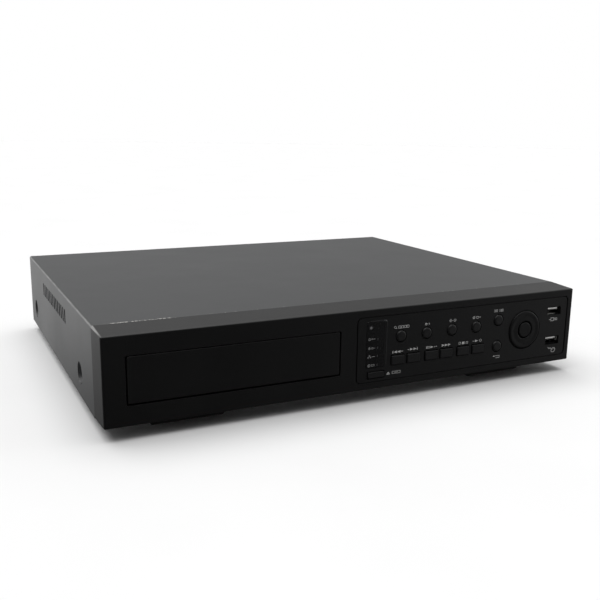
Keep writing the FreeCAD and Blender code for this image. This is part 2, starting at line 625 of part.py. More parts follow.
add(ring, "XY", -13.4, -10.2, [("circle", 0.0, S.nav_pivot, S.pin_radius)])

gimbal = piece("nav_gimbal", S.nav_across, SEAM + PLATE, DECK + S.nav_up)
add(gimbal, "XZ", S.nav_pivot - 1.6, S.nav_pivot + 1.6, [("circle", 0.0, 0.0, 12.5)])
cut(gimbal, "XZ", S.nav_pivot - 3, S.nav_pivot + 3, [("circle", 0.0, 0.0, 9.4)])
cut(gimbal, "XY", -20.0, 20.0, [("circle", 0.0, S.nav_pivot, S.pin_radius + S.pin_play)])
add(gimbal, "YZ", 11.6, 19.9, [("circle", S.nav_pivot, 0.0, S.pin_radius)])
add(gimbal, "YZ", -19.9, -11.6, [("circle", S.nav_pivot, 0.0, S.pin_radius)])

select = piece("ok_button", S.nav_across, SEAM + PLATE, DECK + S.nav_up)
add(select, "XZ", -S.key_reach - S.plate_inset, 2.5, [("circle", 0.0, 0.0, S.select_radius)])
soften(select, 0.8, lambda p: near(p.y, -S.key_reach - S.plate_inset))
add(select, "XZ", 2.3, 3.3, [("circle", 0.0, 0.0, 8.0)])
add(select, "XZ", 3.3, S.key_stem, [("circle", 0.0, 0.0, 2.0)])

# keypad board with its switches, lamps and receiver
keypad = piece("key_board")
add(keypad, "XZ", KEYBOARD, KEYBOARD + S.board_thick, [("box", -9.0, 9.0, 181.0, 53.0)])
cut(keypad, "XZ", KEYBOARD - 1, KEYBOARD + 3, [("circle", px, pz, 1.25) for px, pz in PLATE_SCREWS])

SWITCHES = ([(kx, kz) for _, kx, kz in ROUND_KEYS] + [(kx, S.lower_row) for _, kx in LONG_KEYS]
            + [(EJECT[0], EJECT[1] + 0.6), (S.nav_across, S.nav_up)]
            + [(S.nav_across, S.nav_up + 14.0), (S.nav_across, S.nav_up - 14.0),
               (S.nav_across + 14.0, S.nav_up), (S.nav_across - 14.0, S.nav_up)])
tacts = piece("tact_switches")
add(tacts, "XZ", PLATE + S.plunger_tip + 0.7, KEYBOARD,
    [("box", tx - 3.0, tz - 3.0, tx + 3.0, tz + 3.0) for tx, tz in SWITCHES])
add(tacts, "XZ", PLATE + S.plunger_tip, PLATE + S.plunger_tip + 0.8,
    [("circle", tx, tz, 1.75) for tx, tz in SWITCHES])

LAMPS = [38.2, 31.8, 25.8, 18.8]
lamps = piece("status_leds")
add(lamps, "XZ", PLATE_BACK + 0.95, KEYBOARD, [("round", 5.1, lz - 1.3, 6.9, lz + 1.3, 0.4) for lz in LAMPS])

receiver = piece("ir_receiver")
add(receiver, "XZ", KEYBOARD - 4.5, KEYBOARD, [("box", -2.7, 43.2, 3.3, 50.2)])
sk = new_sketch(receiver, "XY", 46.7)
outline(sk, [(0.3, KEYBOARD - 4.0), (0.3, KEYBOARD - 8.0), (1.4, KEYBOARD - 7.7),
             (2.3, KEYBOARD - 6.6), (2.5, KEYBOARD - 4.0)])
axis = sk.addGeometry(Part.LineSegment(Vector(0.3, -20, 0), Vector(0.3, -5, 0)), True)
dome = receiver.newObject("PartDesign::Revolution", "ReceiverDome")
dome.Profile = sk
dome.ReferenceAxis = (sk, ["Axis0"])
dome.Angle = 360.0

shells = piece("front_usb_shells")
add(shells, "XZ", PLATE + 1.7, KEYBOARD - 0.1,
    [("round", ux - 6.65, uz - 2.9, ux + 6.65, uz + 2.9, 0.5) for ux, uz in USB])
cut(shells, "XZ", PLATE + 1.0, KEYBOARD - 1.0,
    [("round", ux - 6.3, uz - 2.55, ux + 6.3, uz + 2.55, 0.3) for ux, uz in USB])
tongues = piece("front_usb_tongues")
add(tongues, "XZ", PLATE + 2.8, KEYBOARD - 3.0,
    [("box", ux - 5.6, uz + 0.1, ux + 5.6, uz + 1.9) for ux, uz in USB])
add(tongues, "XZ", KEYBOARD - 3.2, KEYBOARD - 1.0,
    [("box", ux - 6.15, uz - 2.4, ux + 6.15, uz + 2.4) for ux, uz in USB])

# ------------------------------------------------------- tray and its drive
front = piece("tray_front")
add(front, "XZ", FACE + 0.1, FACE + 2.6,
    [("round", S.bay_left + half_bay, S.bay_low + half_bay + S.bay_lift,
      S.bay_right - half_bay, S.bay_high - half_bay + S.bay_lift, 0.8)])
soften(front, 0.35, lambda p: near(p.y, FACE + 0.1))
tray_left = S.tray_middle - S.tray_width / 2
tray_right = S.tray_middle + S.tray_width / 2
add(front, "XZ", FACE + 2.5, FACE + 11.2,
    [("box", S.tray_middle - 52, S.tray_floor - 2.5, S.tray_middle + 52, S.tray_floor + S.tray_thick + 2.5)])
add(front, "XZ", FACE + 2.5, FACE + 5.0,
    [("box", S.bay_left + 3.0, S.bay_low + 2.5, S.bay_right - 3.0, S.bay_low + 4.0),
     ("box", S.bay_left + 3.0, S.bay_high - 4.0, S.bay_right - 3.0, S.bay_high - 2.5)])

tray = piece("disc_tray")
tray_top = S.tray_floor + S.tray_thick
add(tray, "XY", S.tray_floor, tray_top, [("box", tray_left, FACE + 11.2, tray_right, S.tray_back)])
cut(tray, "XY", tray_top - 1.6, tray_top + 1, [("circle", S.tray_middle, S.disc_middle, S.disc_radius)])
cut(tray, "XY", tray_top - 2.6, tray_top + 1, [("circle", S.tray_middle, S.disc_middle, 41.0)])
cut(tray, "XY", S.tray_floor - 1, tray_top + 1,
    [("round", S.tray_middle - 23.0, S.disc_middle - 19.0, S.tray_middle + 23.0, S.tray_back - 12.0, 8.0)])
cut(tray, "XY", tray_top - 2.0, tray_top + 1,
    [("box", tray_left + 10, S.tray_back - 26, S.tray_middle - 34, S.tray_back - 5),
     ("box", S.tray_middle + 34, S.tray_back - 26, tray_right - 10, S.tray_back - 5)])

case = piece("drive_case")
add(case, "XY", S.drive_low, S.drive_high, [("box", S.drive_left, S.drive_front, S.drive_right, S.drive_back)])
cut(case, "XY", S.drive_low + S.sheet, S.drive_high + 1,
    [("box", S.drive_left + S.sheet, S.drive_front + S.sheet,
      S.drive_right - S.sheet, S.drive_back - S.sheet)])
cut(case, "XZ", S.drive_front - 1, S.drive_front + 2,
    [("box", tray_left - 2.5, S.tray_floor - 2.6, tray_right + 2.5, tray_top + 2.6)])
add(case, "XY", 23.0, S.tray_floor - 0.3,
    [("box", S.drive_left + 0.5, 5.0, tray_left + 3.5, 165.0),
     ("box", tray_right - 3.5, 5.0, S.drive_right - 0.5, 165.0)])
add(case, "XY", S.drive_low + 0.5, 12.0,
    [("circle", S.tray_middle + sx * 40.0, sy, 3.0) for sx in (-1, 1) for sy in (24.0, 146.0)])
cut(case, "XZ", S.drive_back - 2, S.drive_back + 1,
    [("box", -60.0, 10.0, -36.0, 15.0)])

lid = piece("drive_lid")
add(lid, "XY", S.drive_high, S.drive_high + S.sheet,
    [("box", S.drive_left, S.drive_front, S.drive_right, S.drive_back)])
cut(lid, "XY", S.drive_high + S.sheet - 0.4, S.drive_high + 2,
    [("circle", S.tray_middle, S.disc_middle, 24.0),
     ("round", S.drive_left + 12, 96.0, S.drive_right - 12, 160.0, 6.0)])

deck = piece("drive_deck")
add(deck, "XY", 12.0, 13.2, [("round", S.tray_middle - 46.0, 18.0, S.tray_middle + 46.0, 152.0, 4.0)])
cut(deck, "XY", 11.0, 14.0, [("round", S.tray_middle - 18.0, 68.0, S.tray_middle + 18.0, 138.0, 3.0)])
add(deck, "XY", 13.1, 19.0, [("circle", S.tray_middle, S.disc_middle, 12.0)])
add(deck, "XY", 19.0, 23.0, [("circle", S.tray_middle, S.disc_middle, 1.5)])
add(deck, "XY", 13.1, 21.0,
    [("box", S.tray_middle + sx * 23.0 - 3.0, sy - 2.5, S.tray_middle + sx * 23.0 + 3.0, sy + 2.5)
     for sx in (-1, 1) for sy in (64.5, 142.0)])
cut(deck, "XZ", 60.0, 146.0, [("circle", S.tray_middle + sx * 23.0, 17.5, 1.5) for sx in (-1, 1)])

rods = piece("sled_rods")
add(rods, "XZ", 62.0, 144.5, [("circle", S.tray_middle + sx * 23.0, 17.5, 1.5) for sx in (-1, 1)])

sled = piece("pickup_sled")
add(sled, "XZ", 70.0, 92.0, [("box", S.tray_middle - 26.0, 14.2, S.tray_middle + 26.0, 21.0)])
cut(sled, "XZ", 69.0, 93.0, [("circle", S.tray_middle + sx * 23.0, 17.5, 1.56) for sx in (-1, 1)])
cut(sled, "XY", 19.0, 22.0, [("box", S.tray_middle - 15.0, 74.0, S.tray_middle + 15.0, 88.0)])
add(sled, "XY", 18.9, 22.6, [("circle", S.tray_middle, 81.0, 4.2)])

hub = piece("spindle_hub", S.tray_middle, SEAM + S.disc_middle, DECK + 19.0)
turn(hub, "XZ", 0.0, [(1.55, 0.4), (15.0, 0.4), (15.0, 3.4), (7.4, 3.4), (6.2, 6.2), (1.55, 6.2)], "V_Axis")

# ------------------------------------------------------------- hard drive
disk = piece("hard_drive")
disk_right = S.disk_left + S.disk_wide
disk_back = S.disk_front + S.disk_long
disk_top = S.disk_low + S.disk_tall
add(disk, "XY", S.disk_low, disk_top, [("round", S.disk_left, S.disk_front, disk_right, disk_back, 2.0)])
cut(disk, "XY", disk_top - 1.2, disk_top + 1,
    [("round", S.disk_left + 8, S.disk_front + 10, disk_right - 8, disk_back - 22, 10.0)])
cut(disk, "XY", S.disk_low - 1, S.disk_low + 7.0, [("box", S.disk_left + 30, disk_back - 6.0, disk_right - 20, disk_back + 1)])
cut(disk, "YZ", S.disk_left - 1, S.disk_left + 3.5, [("circle", 45.0, 12.0, 1.5), ("circle", 146.0, 12.0, 1.5)])
cut(disk, "YZ", disk_right - 3.5, disk_right + 1, [("circle", 45.0, 12.0, 1.5), ("circle", 146.0, 12.0, 1.5)])

disk_board = piece("hard_drive_board")
add(disk_board, "XY", S.disk_low - 1.6, S.disk_low, [("round", S.disk_left + 6, 60.0, disk_right - 6, disk_back - 1.0, 2.0)])
add(disk_board, "XY", S.disk_low - 0.2, S.disk_low + 6.0, [("box", S.disk_left + 40, disk_back - 5.5, disk_right - 24, disk_back - 1.5)])

cradle = piece("hdd_cradle")
add(cradle, "XY", 1.0, 2.2, [("box", 48.0, 24.0, 173.6, 152.0)])
add(cradle, "XY", 1.0, 22.0, [("box", S.disk_left - 1.4, 24.0, S.disk_left - 0.2, 152.0),
                              ("box", disk_right + 0.2, 24.0, disk_right + 1.4, 152.0)])
cut(cradle, "XY", 0, 3.0, [("circle", cx, cy, 1.6) for cx, cy in CRADLE_SCREWS]
    + [("round", S.disk_left + 14, 40.0, disk_right - 14, 134.0, 6.0)])
cut(cradle, "YZ", S.disk_left - 3, disk_right + 3, [("circle", 45.0, 12.0, 1.7), ("circle", 146.0, 12.0, 1.7)])

# -------------------------------------------------------------- main board
STANDOFFS = [(S.board_left + 6, S.board_front + 6), (S.board_left + 6, S.board_back - 22),
             (10.0, S.board_front + 6), (10.0, S.board_back - 22),
             (S.board_right - 6, S.board_front + 6), (S.board_right - 6, S.board_back - 22)]
board = piece("main_board")
board_top = S.board_low + S.board_thick
add(board, "XY", S.board_low, board_top, [("box", S.board_left, S.board_front, S.board_right, S.board_back)])
cut(board, "XY", 6.0, 11.0, [("circle", bx, by, 1.7) for bx, by in STANDOFFS])

posts = piece("board_standoffs")
add(posts, "XY", S.sheet, S.board_low,
    [("poly", [(bx + 3.2 * math.cos(math.radians(60 * i)), by + 3.2 * math.sin(math.radians(60 * i)))
               for i in range(6)]) for bx, by in STANDOFFS])
cut(posts, "XY", 3.0, 9.0, [("circle", bx, by, 1.45) for bx, by in STANDOFFS])

chips = piece("board_chips")
add(chips, "XY", board_top, board_top + 1.4,
    [("box", -26.0, 206.0, 4.0, 236.0), ("box", 26.0, 200.0, 38.0, 214.0), ("box", 26.0, 220.0, 38.0, 234.0),
     ("box", -64.0, 204.0, -50.0, 218.0), ("box", -64.0, 224.0, -50.0, 238.0),
     ("box", -98.0, 204.0, -84.0, 218.0), ("box", -98.0, 224.0, -84.0, 238.0),
     ("box", 60.0, 206.0, 76.0, 218.0)])
add(chips, "XY", board_top, board_top + 9.0,
    [("circle", 104.0, 200.0, 4.0), ("circle", 115.0, 200.0, 4.0), ("circle", 126.0, 200.0, 4.0),
     ("circle", 104.0, 212.0, 3.0), ("box", 112.0, 210.0, 126.0, 222.0),
     ("box", 30.0, 184.0, 58.0, 190.0),
     ("box", 92.0, 182.0, 108.0, 187.0), ("box", -58.0, 182.0, -42.0, 187.0)])
add(chips, "XY", board_top, board_top + 4.5, [("circle", 70.0, 232.0, 10.5)])

sink = piece("heat_sink")
sink_low = board_top + 1.4
add(sink, "XY", sink_low, sink_low + 2.5, [("box", -30.0, 202.0, 8.0, 240.0)])
fin = add(sink, "XY", sink_low + 2.3, sink_low + 14.0, [("box", -30.0, 202.0, -28.8, 240.0)])
row_of(sink, [fin], "X_Axis", 36.8, 9)

# --------------------------------------------------------------------- fan
fan = piece("fan_frame", S.fan_across, SEAM + PANEL - S.sheet - 0.1, DECK + S.fan_up)
add(fan, "XZ", -S.fan_deep, 0.0, [("round", -S.fan_size / 2, -S.fan_size / 2, S.fan_size / 2, S.fan_size / 2, 2.5)])
cut(fan, "XZ", -S.fan_deep - 1, 1.0, [("circle", 0.0, 0.0, 19.0)]
    + [("circle", i * 16.0, j * 16.0, 1.7) for i in (-1, 1) for j in (-1, 1)])
add(fan, "XZ", -3.0, 0.0, [("circle", 0.0, 0.0, 8.5)])
strut = add(fan, "XZ", -2.5, 0.0, [("box", -1.2, 8.0, 1.2, 19.4)])
polar = fan.newObject("PartDesign::PolarPattern", "Struts")
polar.Originals = [strut]
polar.Axis = (origin_plane(fan, "Y_Axis"), [""])
polar.Angle = 360.0
polar.Occurrences = 3
fan.Tip = polar
add(fan, "XZ", -6.0, -2.8, [("circle", 0.0, 0.0, 1.5)])

rotor = piece("fan_rotor", S.fan_across, SEAM + PANEL - S.sheet - 0.1, DECK + S.fan_up)
add(rotor, "XZ", -S.fan_deep + 0.8, -3.4, [("circle", 0.0, 0.0, 9.0)])
cut(rotor, "XZ", -6.5, 0.0, [("circle", 0.0, 0.0, 1.56)])
blade = add(rotor, "YZ", 8.4, 18.2, [("poly", [(-S.fan_deep + 1.2, -3.6), (-S.fan_deep + 2.2, -3.6),
                                               (-3.8, 2.8), (-4.8, 2.8)])])
polar = rotor.newObject("PartDesign::PolarPattern", "Blades")
polar.Originals = [blade]
polar.Axis = (origin_plane(rotor, "Y_Axis"), [""])
polar.Angle = 360.0
polar.Occurrences = 7
rotor.Tip = polar

# ------------------------------------------------------------ rear sockets
barrels = piece("bnc_shells")
tube = add(barrels, "XZ", PANEL - 4.0, S.cover_depth + S.socket_reach,
           [("circle", S.socket_first, rz, S.barrel_radius) for rz in (S.socket_low, S.socket_up)]
           + [("circle", S.socket_first, rz, S.barrel_radius - 0.75) for rz in (S.socket_low, S.socket_up)])
lugs = add(barrels, "XZ", S.cover_depth + 6.5, S.cover_depth + 8.5,
           [("box", S.socket_first + sx * 5.1 - 0.6, rz - 0.9, S.socket_first + sx * 5.1 + 0.6, rz + 0.9)
            for sx in (-1, 1) for rz in (S.socket_low, S.socket_up)])
row_of(barrels, [tube, lugs], "X_Axis", S.socket_pitch * 7, 8)

blocks = piece("bnc_housings")
block = add(blocks, "XZ", PANEL - 20.0, PANEL - S.sheet - 0.1,
            [("box", S.socket_first - 7.4, board_top, S.socket_first + 7.4, 50.0)])
bore = cut(blocks, "XZ", PANEL - 4.0, PANEL + 1.0,
           [("circle", S.socket_first, rz, S.barrel_radius) for rz in (S.socket_low, S.socket_up)])
core = add(blocks, "XZ", PANEL - 4.2, S.cover_depth + 1.0,
           [("circle", S.socket_first, rz, S.barrel_radius - 0.75) for rz in (S.socket_low, S.socket_up)])
tip = add(blocks, "XZ", S.cover_depth + 0.8, S.cover_depth + 9.0,
          [("circle", S.socket_first, rz, 1.6) for rz in (S.socket_low, S.socket_up)]
          + [("circle", S.socket_first, rz, 0.7) for rz in (S.socket_low, S.socket_up)])
row_of(blocks, [block, bore, core, tip], "X_Axis", S.socket_pitch * 7, 8)

jacks = piece("audio_jacks")
add(jacks, "XZ", PANEL - 14.0, PANEL - S.sheet - 0.1,
    [("box", 17.0, board_top, 46.0, 50.0)])
add(jacks, "XZ", PANEL - 1.3, PANEL, [("circle", ax, az, 4.25) for ax, az in AUDIO])
add(jacks, "XZ", PANEL - 0.1, S.cover_depth + 7.5, [("circle", ax, az, 4.15) for ax, az in AUDIO])
cut(jacks, "XZ", S.cover_depth - 2.0, S.cover_depth + 9.0, [("circle", ax, az, 1.65) for ax, az in AUDIO])

vga = piece("vga_port")
add(vga, "XZ", PANEL - 12.0, PANEL - S.sheet - 0.1, [("box", 54.6, board_top, 85.4, 24.0)])
add(vga, "XZ", PANEL - 1.3, S.cover_depth + 4.8,
    [("poly", [(60.9, 21.8), (79.1, 21.8), (77.6, 13.2), (62.4, 13.2)])])
cut(vga, "XZ", S.cover_depth + 3.0, S.cover_depth + 6.0,
    [("circle", 65.1 + 2.45 * i - (0.6 if j == 1 else 0.0), 15.2 + 2.3 * j, 0.55)
     for j in range(3) for i in range(5)])
add(vga, "XZ", PANEL - 1.3, S.cover_depth + 3.6, [("circle", 57.5, 17.5, 2.2), ("circle", 82.5, 17.5, 2.2)])
cut(vga, "XZ", S.cover_depth - 1.0, S.cover_depth + 6.0, [("circle", 57.5, 17.5, 1.2), ("circle", 82.5, 17.5, 1.2)])


def solid_box(name, x0, y0, z0, x1, y1, z1):
    """A Part::Box whose size and corner follow the sheet."""
    box = doc.addObject("Part::Box", name)
    for prop, low, high in (("Length", x0, x1), ("Width", y0, y1), ("Height", z0, z1)):
        setattr(box, prop, num(high) - num(low))
        if isinstance(low, Dim) or isinstance(high, Dim):
            bind(box, prop, high - low)
    box.Placement = FreeCAD.Placement(Vector(num(x0), num(y0), num(z0)), FreeCAD.Rotation())
    for prop, low in (("x", x0), ("y", y0), ("z", z0)):
        bind(box, ".Placement.Base." + prop, low)
    return box


def solid_rod(name, across, y0, y1, up, radius):
    """A Part::Cylinder along Y."""
    rod = doc.addObject("Part::Cylinder", name)
    rod.Radius = num(radius)
    bind(rod, "Radius", radius)
    rod.Height = num(y1) - num(y0)
    if isinstance(y0, Dim) or isinstance(y1, Dim):
        bind(rod, "Height", y1 - y0)
    rod.Placement = FreeCAD.Placement(Vector(num(across), num(y1), num(up)),
                                      FreeCAD.Rotation(Vector(1, 0, 0), 90))
    for prop, low in (("x", across), ("y", y1), ("z", up)):
        bind(rod, ".Placement.Base." + prop, low)
    return rod


def joined(name, parts):
    fuse = doc.addObject("Part::MultiFuse", name)
    fuse.Shapes = parts
    return fuse


def minus(name, base, tool):
    less = doc.addObject("Part::Cut", name)
    less.Base = base
    less.Tool = tool
    return less


port_face = S.cover_depth + 0.6
hdmi_body = solid_box("HdmiBody", 62.7, PANEL - 11.0, 33.6, 77.3, port_face, 38.4)
hdmi_hole = solid_box("HdmiHole", 63.1, PANEL - 9.0, 34.0, 76.9, port_face + 1, 38.0)
hdmi_tongue = solid_box("HdmiTongue", 64.6, PANEL - 10.0, 35.6, 75.4, port_face - 0.8, 36.6)
hdmi_riser = solid_box("HdmiRiser", 61.5, PANEL - 11.0, 26.0, 78.5, PANEL - 1.6, 33.8)
keep(joined("HdmiAll", [minus("HdmiShell", hdmi_body, hdmi_hole), hdmi_tongue, hdmi_riser]), "hdmi_port")

lan_body = solid_box("LanBody", 92.2, PANEL - 21.0, board_top, 108.0, port_face, 24.7)
lan_hole = solid_box("LanHole", 94.2, PANEL - 11.0, 13.0, 106.0, port_face + 1, 21.6)
lan_latch = solid_box("LanLatch", 97.3, PANEL - 11.0, 21.0, 102.9, port_face + 1, 23.6)
keep(minus("LanAll", lan_body, joined("LanVoid", [lan_hole, lan_latch])), "lan_port")

strip_body = solid_box("StripBody", 119.0, PANEL - 12.0, board_top, 145.0, S.cover_depth + 3.0, 22.0)
strip_holes = [solid_box("StripHole%d" % i, 120.1 + 3.2 * i, S.cover_depth - 1.0, 12.4,
                         122.6 + 3.2 * i, S.cover_depth + 4.0, 15.2) for i in range(8)]
strip_heads = [solid_box("StripHead%d" % i, 120.1 + 3.2 * i, S.cover_depth + 1.6, 17.4,
                         122.6 + 3.2 * i, S.cover_depth + 4.0, 20.4) for i in range(8)]
keep(minus("StripAll", strip_body, joined("StripVoid", strip_holes + strip_heads)), "terminal_block")

inlet_block = solid_box("InletBlock", S.power_across - 7.0, PANEL - 15.0, 10.0,
                        S.power_across + 7.0, PANEL - 1.2, 26.0)
inlet_ring = solid_rod("InletRing", S.power_across, PANEL - 2.0, S.cover_depth + 1.4, S.socket_low, 5.6)
inlet_hole = solid_rod("InletHole", S.power_across, PANEL - 11.0, S.cover_depth + 3.0, S.socket_low, 2.8)
inlet_pin = solid_rod("InletPin", S.power_across, PANEL - 12.0, S.cover_depth + 0.6, S.socket_low, 1.0)
keep(joined("InletAll", [minus("InletShell", joined("InletSolid", [inlet_block, inlet_ring]), inlet_hole),
                         inlet_pin]), "dc_inlet")

# rocker switch: bezel and well outside, body inside, rocker on a pin
well = piece("switch_body", S.power_across, SEAM + PANEL, DECK + S.socket_up)
add(well, "XZ", 0.05, 1.4, [("round", -7.6, -10.6, 7.6, 10.6, 1.0)])
add(well, "XZ", -15.0, 0.3, [("box", -6.3, -9.5, 6.3, 9.5)])
cut(well, "XZ", -7.5, 3.0, [("box", -5.0, -8.4, 5.0, 8.4)])
cut(well, "YZ", -7.0, 7.0, [("circle", -1.0, 0.0, 0.95)])
paddle = piece("switch_rocker", S.power_across, SEAM + PANEL - 1.0, DECK + S.socket_up)
add(paddle, "YZ", -4.75, 4.75, [("poly", [(-3.4, -2.4), (-0.3, -7.9), (1.9, -7.9), (2.3, 0.0),
                                          (5.0, 6.4), (4.3, 6.9), (0.4, 7.9), (-3.4, 2.4)])])
add(paddle, "YZ", -6.2, 6.2, [("circle", 0.0, 0.0, 0.9)])

# --------------------------------------------------------------------- feet
feet = piece("feet")
foot_tops = [("round", sx * S.foot_across - S.foot_wide / 2, fy,
              sx * S.foot_across + S.foot_wide / 2, fy + S.foot_long, 2.0)
             for sx in (-1, 1) for fy in (S.foot_front, S.foot_rear)]
add(feet, "XY", -S.foot_height, 0, foot_tops)
soften(feet, 0.8, lambda p: near(p.z, -S.foot_height), "Chamfer")
cut(feet, "XY", -S.foot_height - 1, -3.0, [("circle", fx, fy, 4.2) for fx, fy in FOOT_SCREWS])
cut(feet, "XY", -4.0, 1.0, [("circle", fx, fy, 1.7) for fx, fy in FOOT_SCREWS])

# ------------------------------------------------------------------- screws
screws = piece("cover_screws")
for sx in (-1, 1):
    seat = HALF - S.dish_deep
    spots = [S.dish_front, S.dish_rear]
    if sx < 0:
        add(screws, "YZ", -seat - 2.2, -seat, [("circle", sy, S.dish_low, 3.4) for sy in spots])
        add(screws, "YZ", -seat - 0.2, -seat + 6.0, [("circle", sy, S.dish_low, 1.4) for sy in spots])
    else:
        add(screws, "YZ", seat, seat + 2.2, [("circle", sy, S.dish_low, 3.4) for sy in spots])
        add(screws, "YZ", seat - 6.0, seat + 0.2, [("circle", sy, S.dish_low, 1.4) for sy in spots])
doc.recompute()
soften(screws, 0.7, lambda p: abs(abs(p.x) - num(HALF - S.dish_deep + 2.2)) < 0.02)
for sx in (-1, 1):
    lo = -HALF + S.dish_deep - 3.0 if sx < 0 else HALF - S.dish_deep + 1.0
    hi = -HALF + S.dish_deep - 1.0 if sx < 0 else HALF - S.dish_deep + 3.0
    cut(screws, "YZ", lo, hi, [("box", sy - 2.0, S.dish_low - 0.4, sy + 2.0, S.dish_low + 0.4)
                               for sy in (S.dish_front, S.dish_rear)])
    cut(screws, "YZ", lo, hi, [("box", sy - 0.4, S.dish_low - 2.0, sy + 0.4, S.dish_low + 2.0)
                               for sy in (S.dish_front, S.dish_rear)])
add(screws, "XZ", S.cover_depth, S.cover_depth + 1.8, [("circle", bx, 56.0, 2.8) for bx in COVER_BACK])
add(screws, "XZ", S.cover_depth - 6.0, S.cover_depth + 0.2, [("circle", bx, 56.0, 1.4) for bx in COVER_BACK])

inner_set = piece("inner_screws")
# bezel screws, keypad board screws, board screws, cradle, disk and foot screws
add(inner_set, "XZ", 0.5 + S.sheet, 3.3, [("circle", bx, bz, 2.8) for bx, bz in BEZEL_SCREWS[:4]]
    + [("circle", bx, bz, 2.2) for bx, bz in BEZEL_SCREWS[4:]])
add(inner_set, "XZ", -8.0, 1.7, [("circle", bx, bz, 1.2) for bx, bz in BEZEL_SCREWS])
add(inner_set, "XZ", KEYBOARD + S.board_thick, KEYBOARD + S.board_thick + 1.6,
    [("circle", px, pz, 2.2) for px, pz in PLATE_SCREWS])
add(inner_set, "XZ", KEYBOARD - 6.0, KEYBOARD + S.board_thick + 0.2,
    [("circle", px, pz, 0.9) for px, pz in PLATE_SCREWS])
add(inner_set, "XY", board_top, board_top + 1.8, [("circle", bx, by, 2.8) for bx, by in STANDOFFS])
add(inner_set, "XY", 4.0, board_top + 0.2, [("circle", bx, by, 1.4) for bx, by in STANDOFFS])
add(inner_set, "XY", 2.2, 4.0, [("circle", cx, cy, 2.8) for cx, cy in CRADLE_SCREWS])
add(inner_set, "XY", 0.1, 2.4, [("circle", cx, cy, 1.4) for cx, cy in CRADLE_SCREWS])
add(inner_set, "XY", -5.0, -3.0, [("circle", fx, fy, 3.4) for fx, fy in FOOT_SCREWS])
add(inner_set, "XY", -3.2, 3.6, [("circle", fx, fy, 1.5) for fx, fy in FOOT_SCREWS])
add(inner_set, "YZ", S.disk_left - 3.2, S.disk_left - 1.4, [("circle", 45.0, 12.0, 2.8), ("circle", 146.0, 12.0, 2.8)])
add(inner_set, "YZ", S.disk_left - 1.6, S.disk_left + 3.0, [("circle", 45.0, 12.0, 1.4), ("circle", 146.0, 12.0, 1.4)])
add(inner_set, "YZ", disk_right + 1.4, disk_right + 3.2, [("circle", 45.0, 12.0, 2.8), ("circle", 146.0, 12.0, 2.8)])
add(inner_set, "YZ", disk_right - 3.0, disk_right + 1.6, [("circle", 45.0, 12.0, 1.4), ("circle", 146.0, 12.0, 1.4)])


# ------------------------------------------------------------------- cables
def flat_cable(across, wide, thick, points):
    """A flat cable in the YZ plane: straight runs joined by tangent arcs."""
    spots = [Vector(across, y, z) for y, z in points]
    edges, start = [], spots[0]
    for i in range(1, len(spots) - 1):
        a, b, c = spots[i - 1], spots[i], spots[i + 1]
        u, v = (b - a), (c - b)
        short = min(u.Length, v.Length)
        u.normalize()
        v.normalize()
        theta = u.getAngle(v)
        reach = 0.45 * short
        radius = reach / math.tan(theta / 2)
        print("cable arc radius %.1f" % radius)
        p, q = b - u * reach, b + v * reach
        bis = (v - u)
        bis.normalize()
        middle = b + bis * (radius / math.cos(theta / 2) - radius)
        edges.append(Part.LineSegment(start, p).toShape())
        edges.append(Part.Arc(p, middle, q).toShape())
        start = q
    edges.append(Part.LineSegment(start, spots[-1]).toShape())
    path = Part.Wire(edges)
    d = spots[1] - spots[0]
    d.normalize()
    n = Vector(0, -d.z, d.y)
    half = Vector(wide / 2, 0, 0)
    lift = n * (thick / 2)
    o = spots[0]
    profile = Part.makePolygon([o - half - lift, o + half - lift, o + half + lift, o - half + lift,
                                o - half - lift])
    solid = path.makePipeShell([profile], True, False)
    print("cable volume %.1f, section times length %.1f" % (solid.Volume, wide * thick * path.Length))
    return solid


ribbon = doc.addObject("Part::Feature", "FrontRibbon")
kb_back = num(KEYBOARD + S.board_thick)
ribbon_plug = Part.makeBox(28.0, 5.0, 6.0, Vector(29.0, kb_back, 40.0))
ribbon_end = Part.makeBox(26.0, 5.0, 5.0, Vector(31.0, 184.5, num(board_top) + 9.0))
ribbon.Shape = Part.makeCompound([
    ribbon_plug, ribbon_end,
    flat_cable(44.0, 25.0, 0.9, [(kb_back + 5.0, 43.0), (60.0, 43.5), (130.0, 41.0),
                                 (172.0, 38.0), (187.0, 34.0), (187.0, num(board_top) + 14.0)])])
keep(ribbon, "front_ribbon")

leads = doc.addObject("Part::Feature", "SataLeads")
b_top = num(board_top)
disk_end = num(disk_back)
leads.Shape = Part.makeCompound([
    flat_cable(100.0, 8.0, 1.4, [(disk_end, 9.0), (168.0, 9.0), (172.0, 22.0), (178.0, 33.0),
                                 (184.5, 33.0), (184.5, b_top + 9.0)]),
    flat_cable(-50.0, 8.0, 1.4, [(172.0, 12.5), (177.0, 14.5), (178.5, 25.0), (181.0, 34.0),
                                 (184.5, 34.0), (184.5, b_top + 9.0)])])
keep(leads, "sata_cables")

# -------------------------------------------------------- check and write
doc.recompute()
for item in doc.Objects:
    for word in item.State:
        if "Invalid" in word or "Error" in word:
            raise RuntimeError("%s (%s) is %s" % (item.Name, item.Label, item.State))
for item in NODES:
    if item.Shape.isNull() or not item.Shape.isValid():
        raise RuntimeError("bad shape in " + item.Label)
    if not item.Shape.Solids:
        raise RuntimeError("no solid in " + item.Label)
if len(NODES) > 60 or len(set(n.Label for n in NODES)) != len(NODES):
    raise RuntimeError("node list")

os.makedirs("parts", exist_ok=True)
for item in NODES:
    item.Shape.exportStep("parts/%s.step" % item.Label)
total = FreeCAD.BoundBox()
for item in NODES:
    total.add(item.Shape.BoundBox)
print("%d nodes, box %.2f %.2f %.2f to %.2f %.2f %.2f" % (
    len(NODES), total.XMin, total.YMin, total.ZMin, total.XMax, total.YMax, total.ZMax))
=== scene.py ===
import json
import math

import bmesh
import bpy
from mathutils import Matrix, Vector


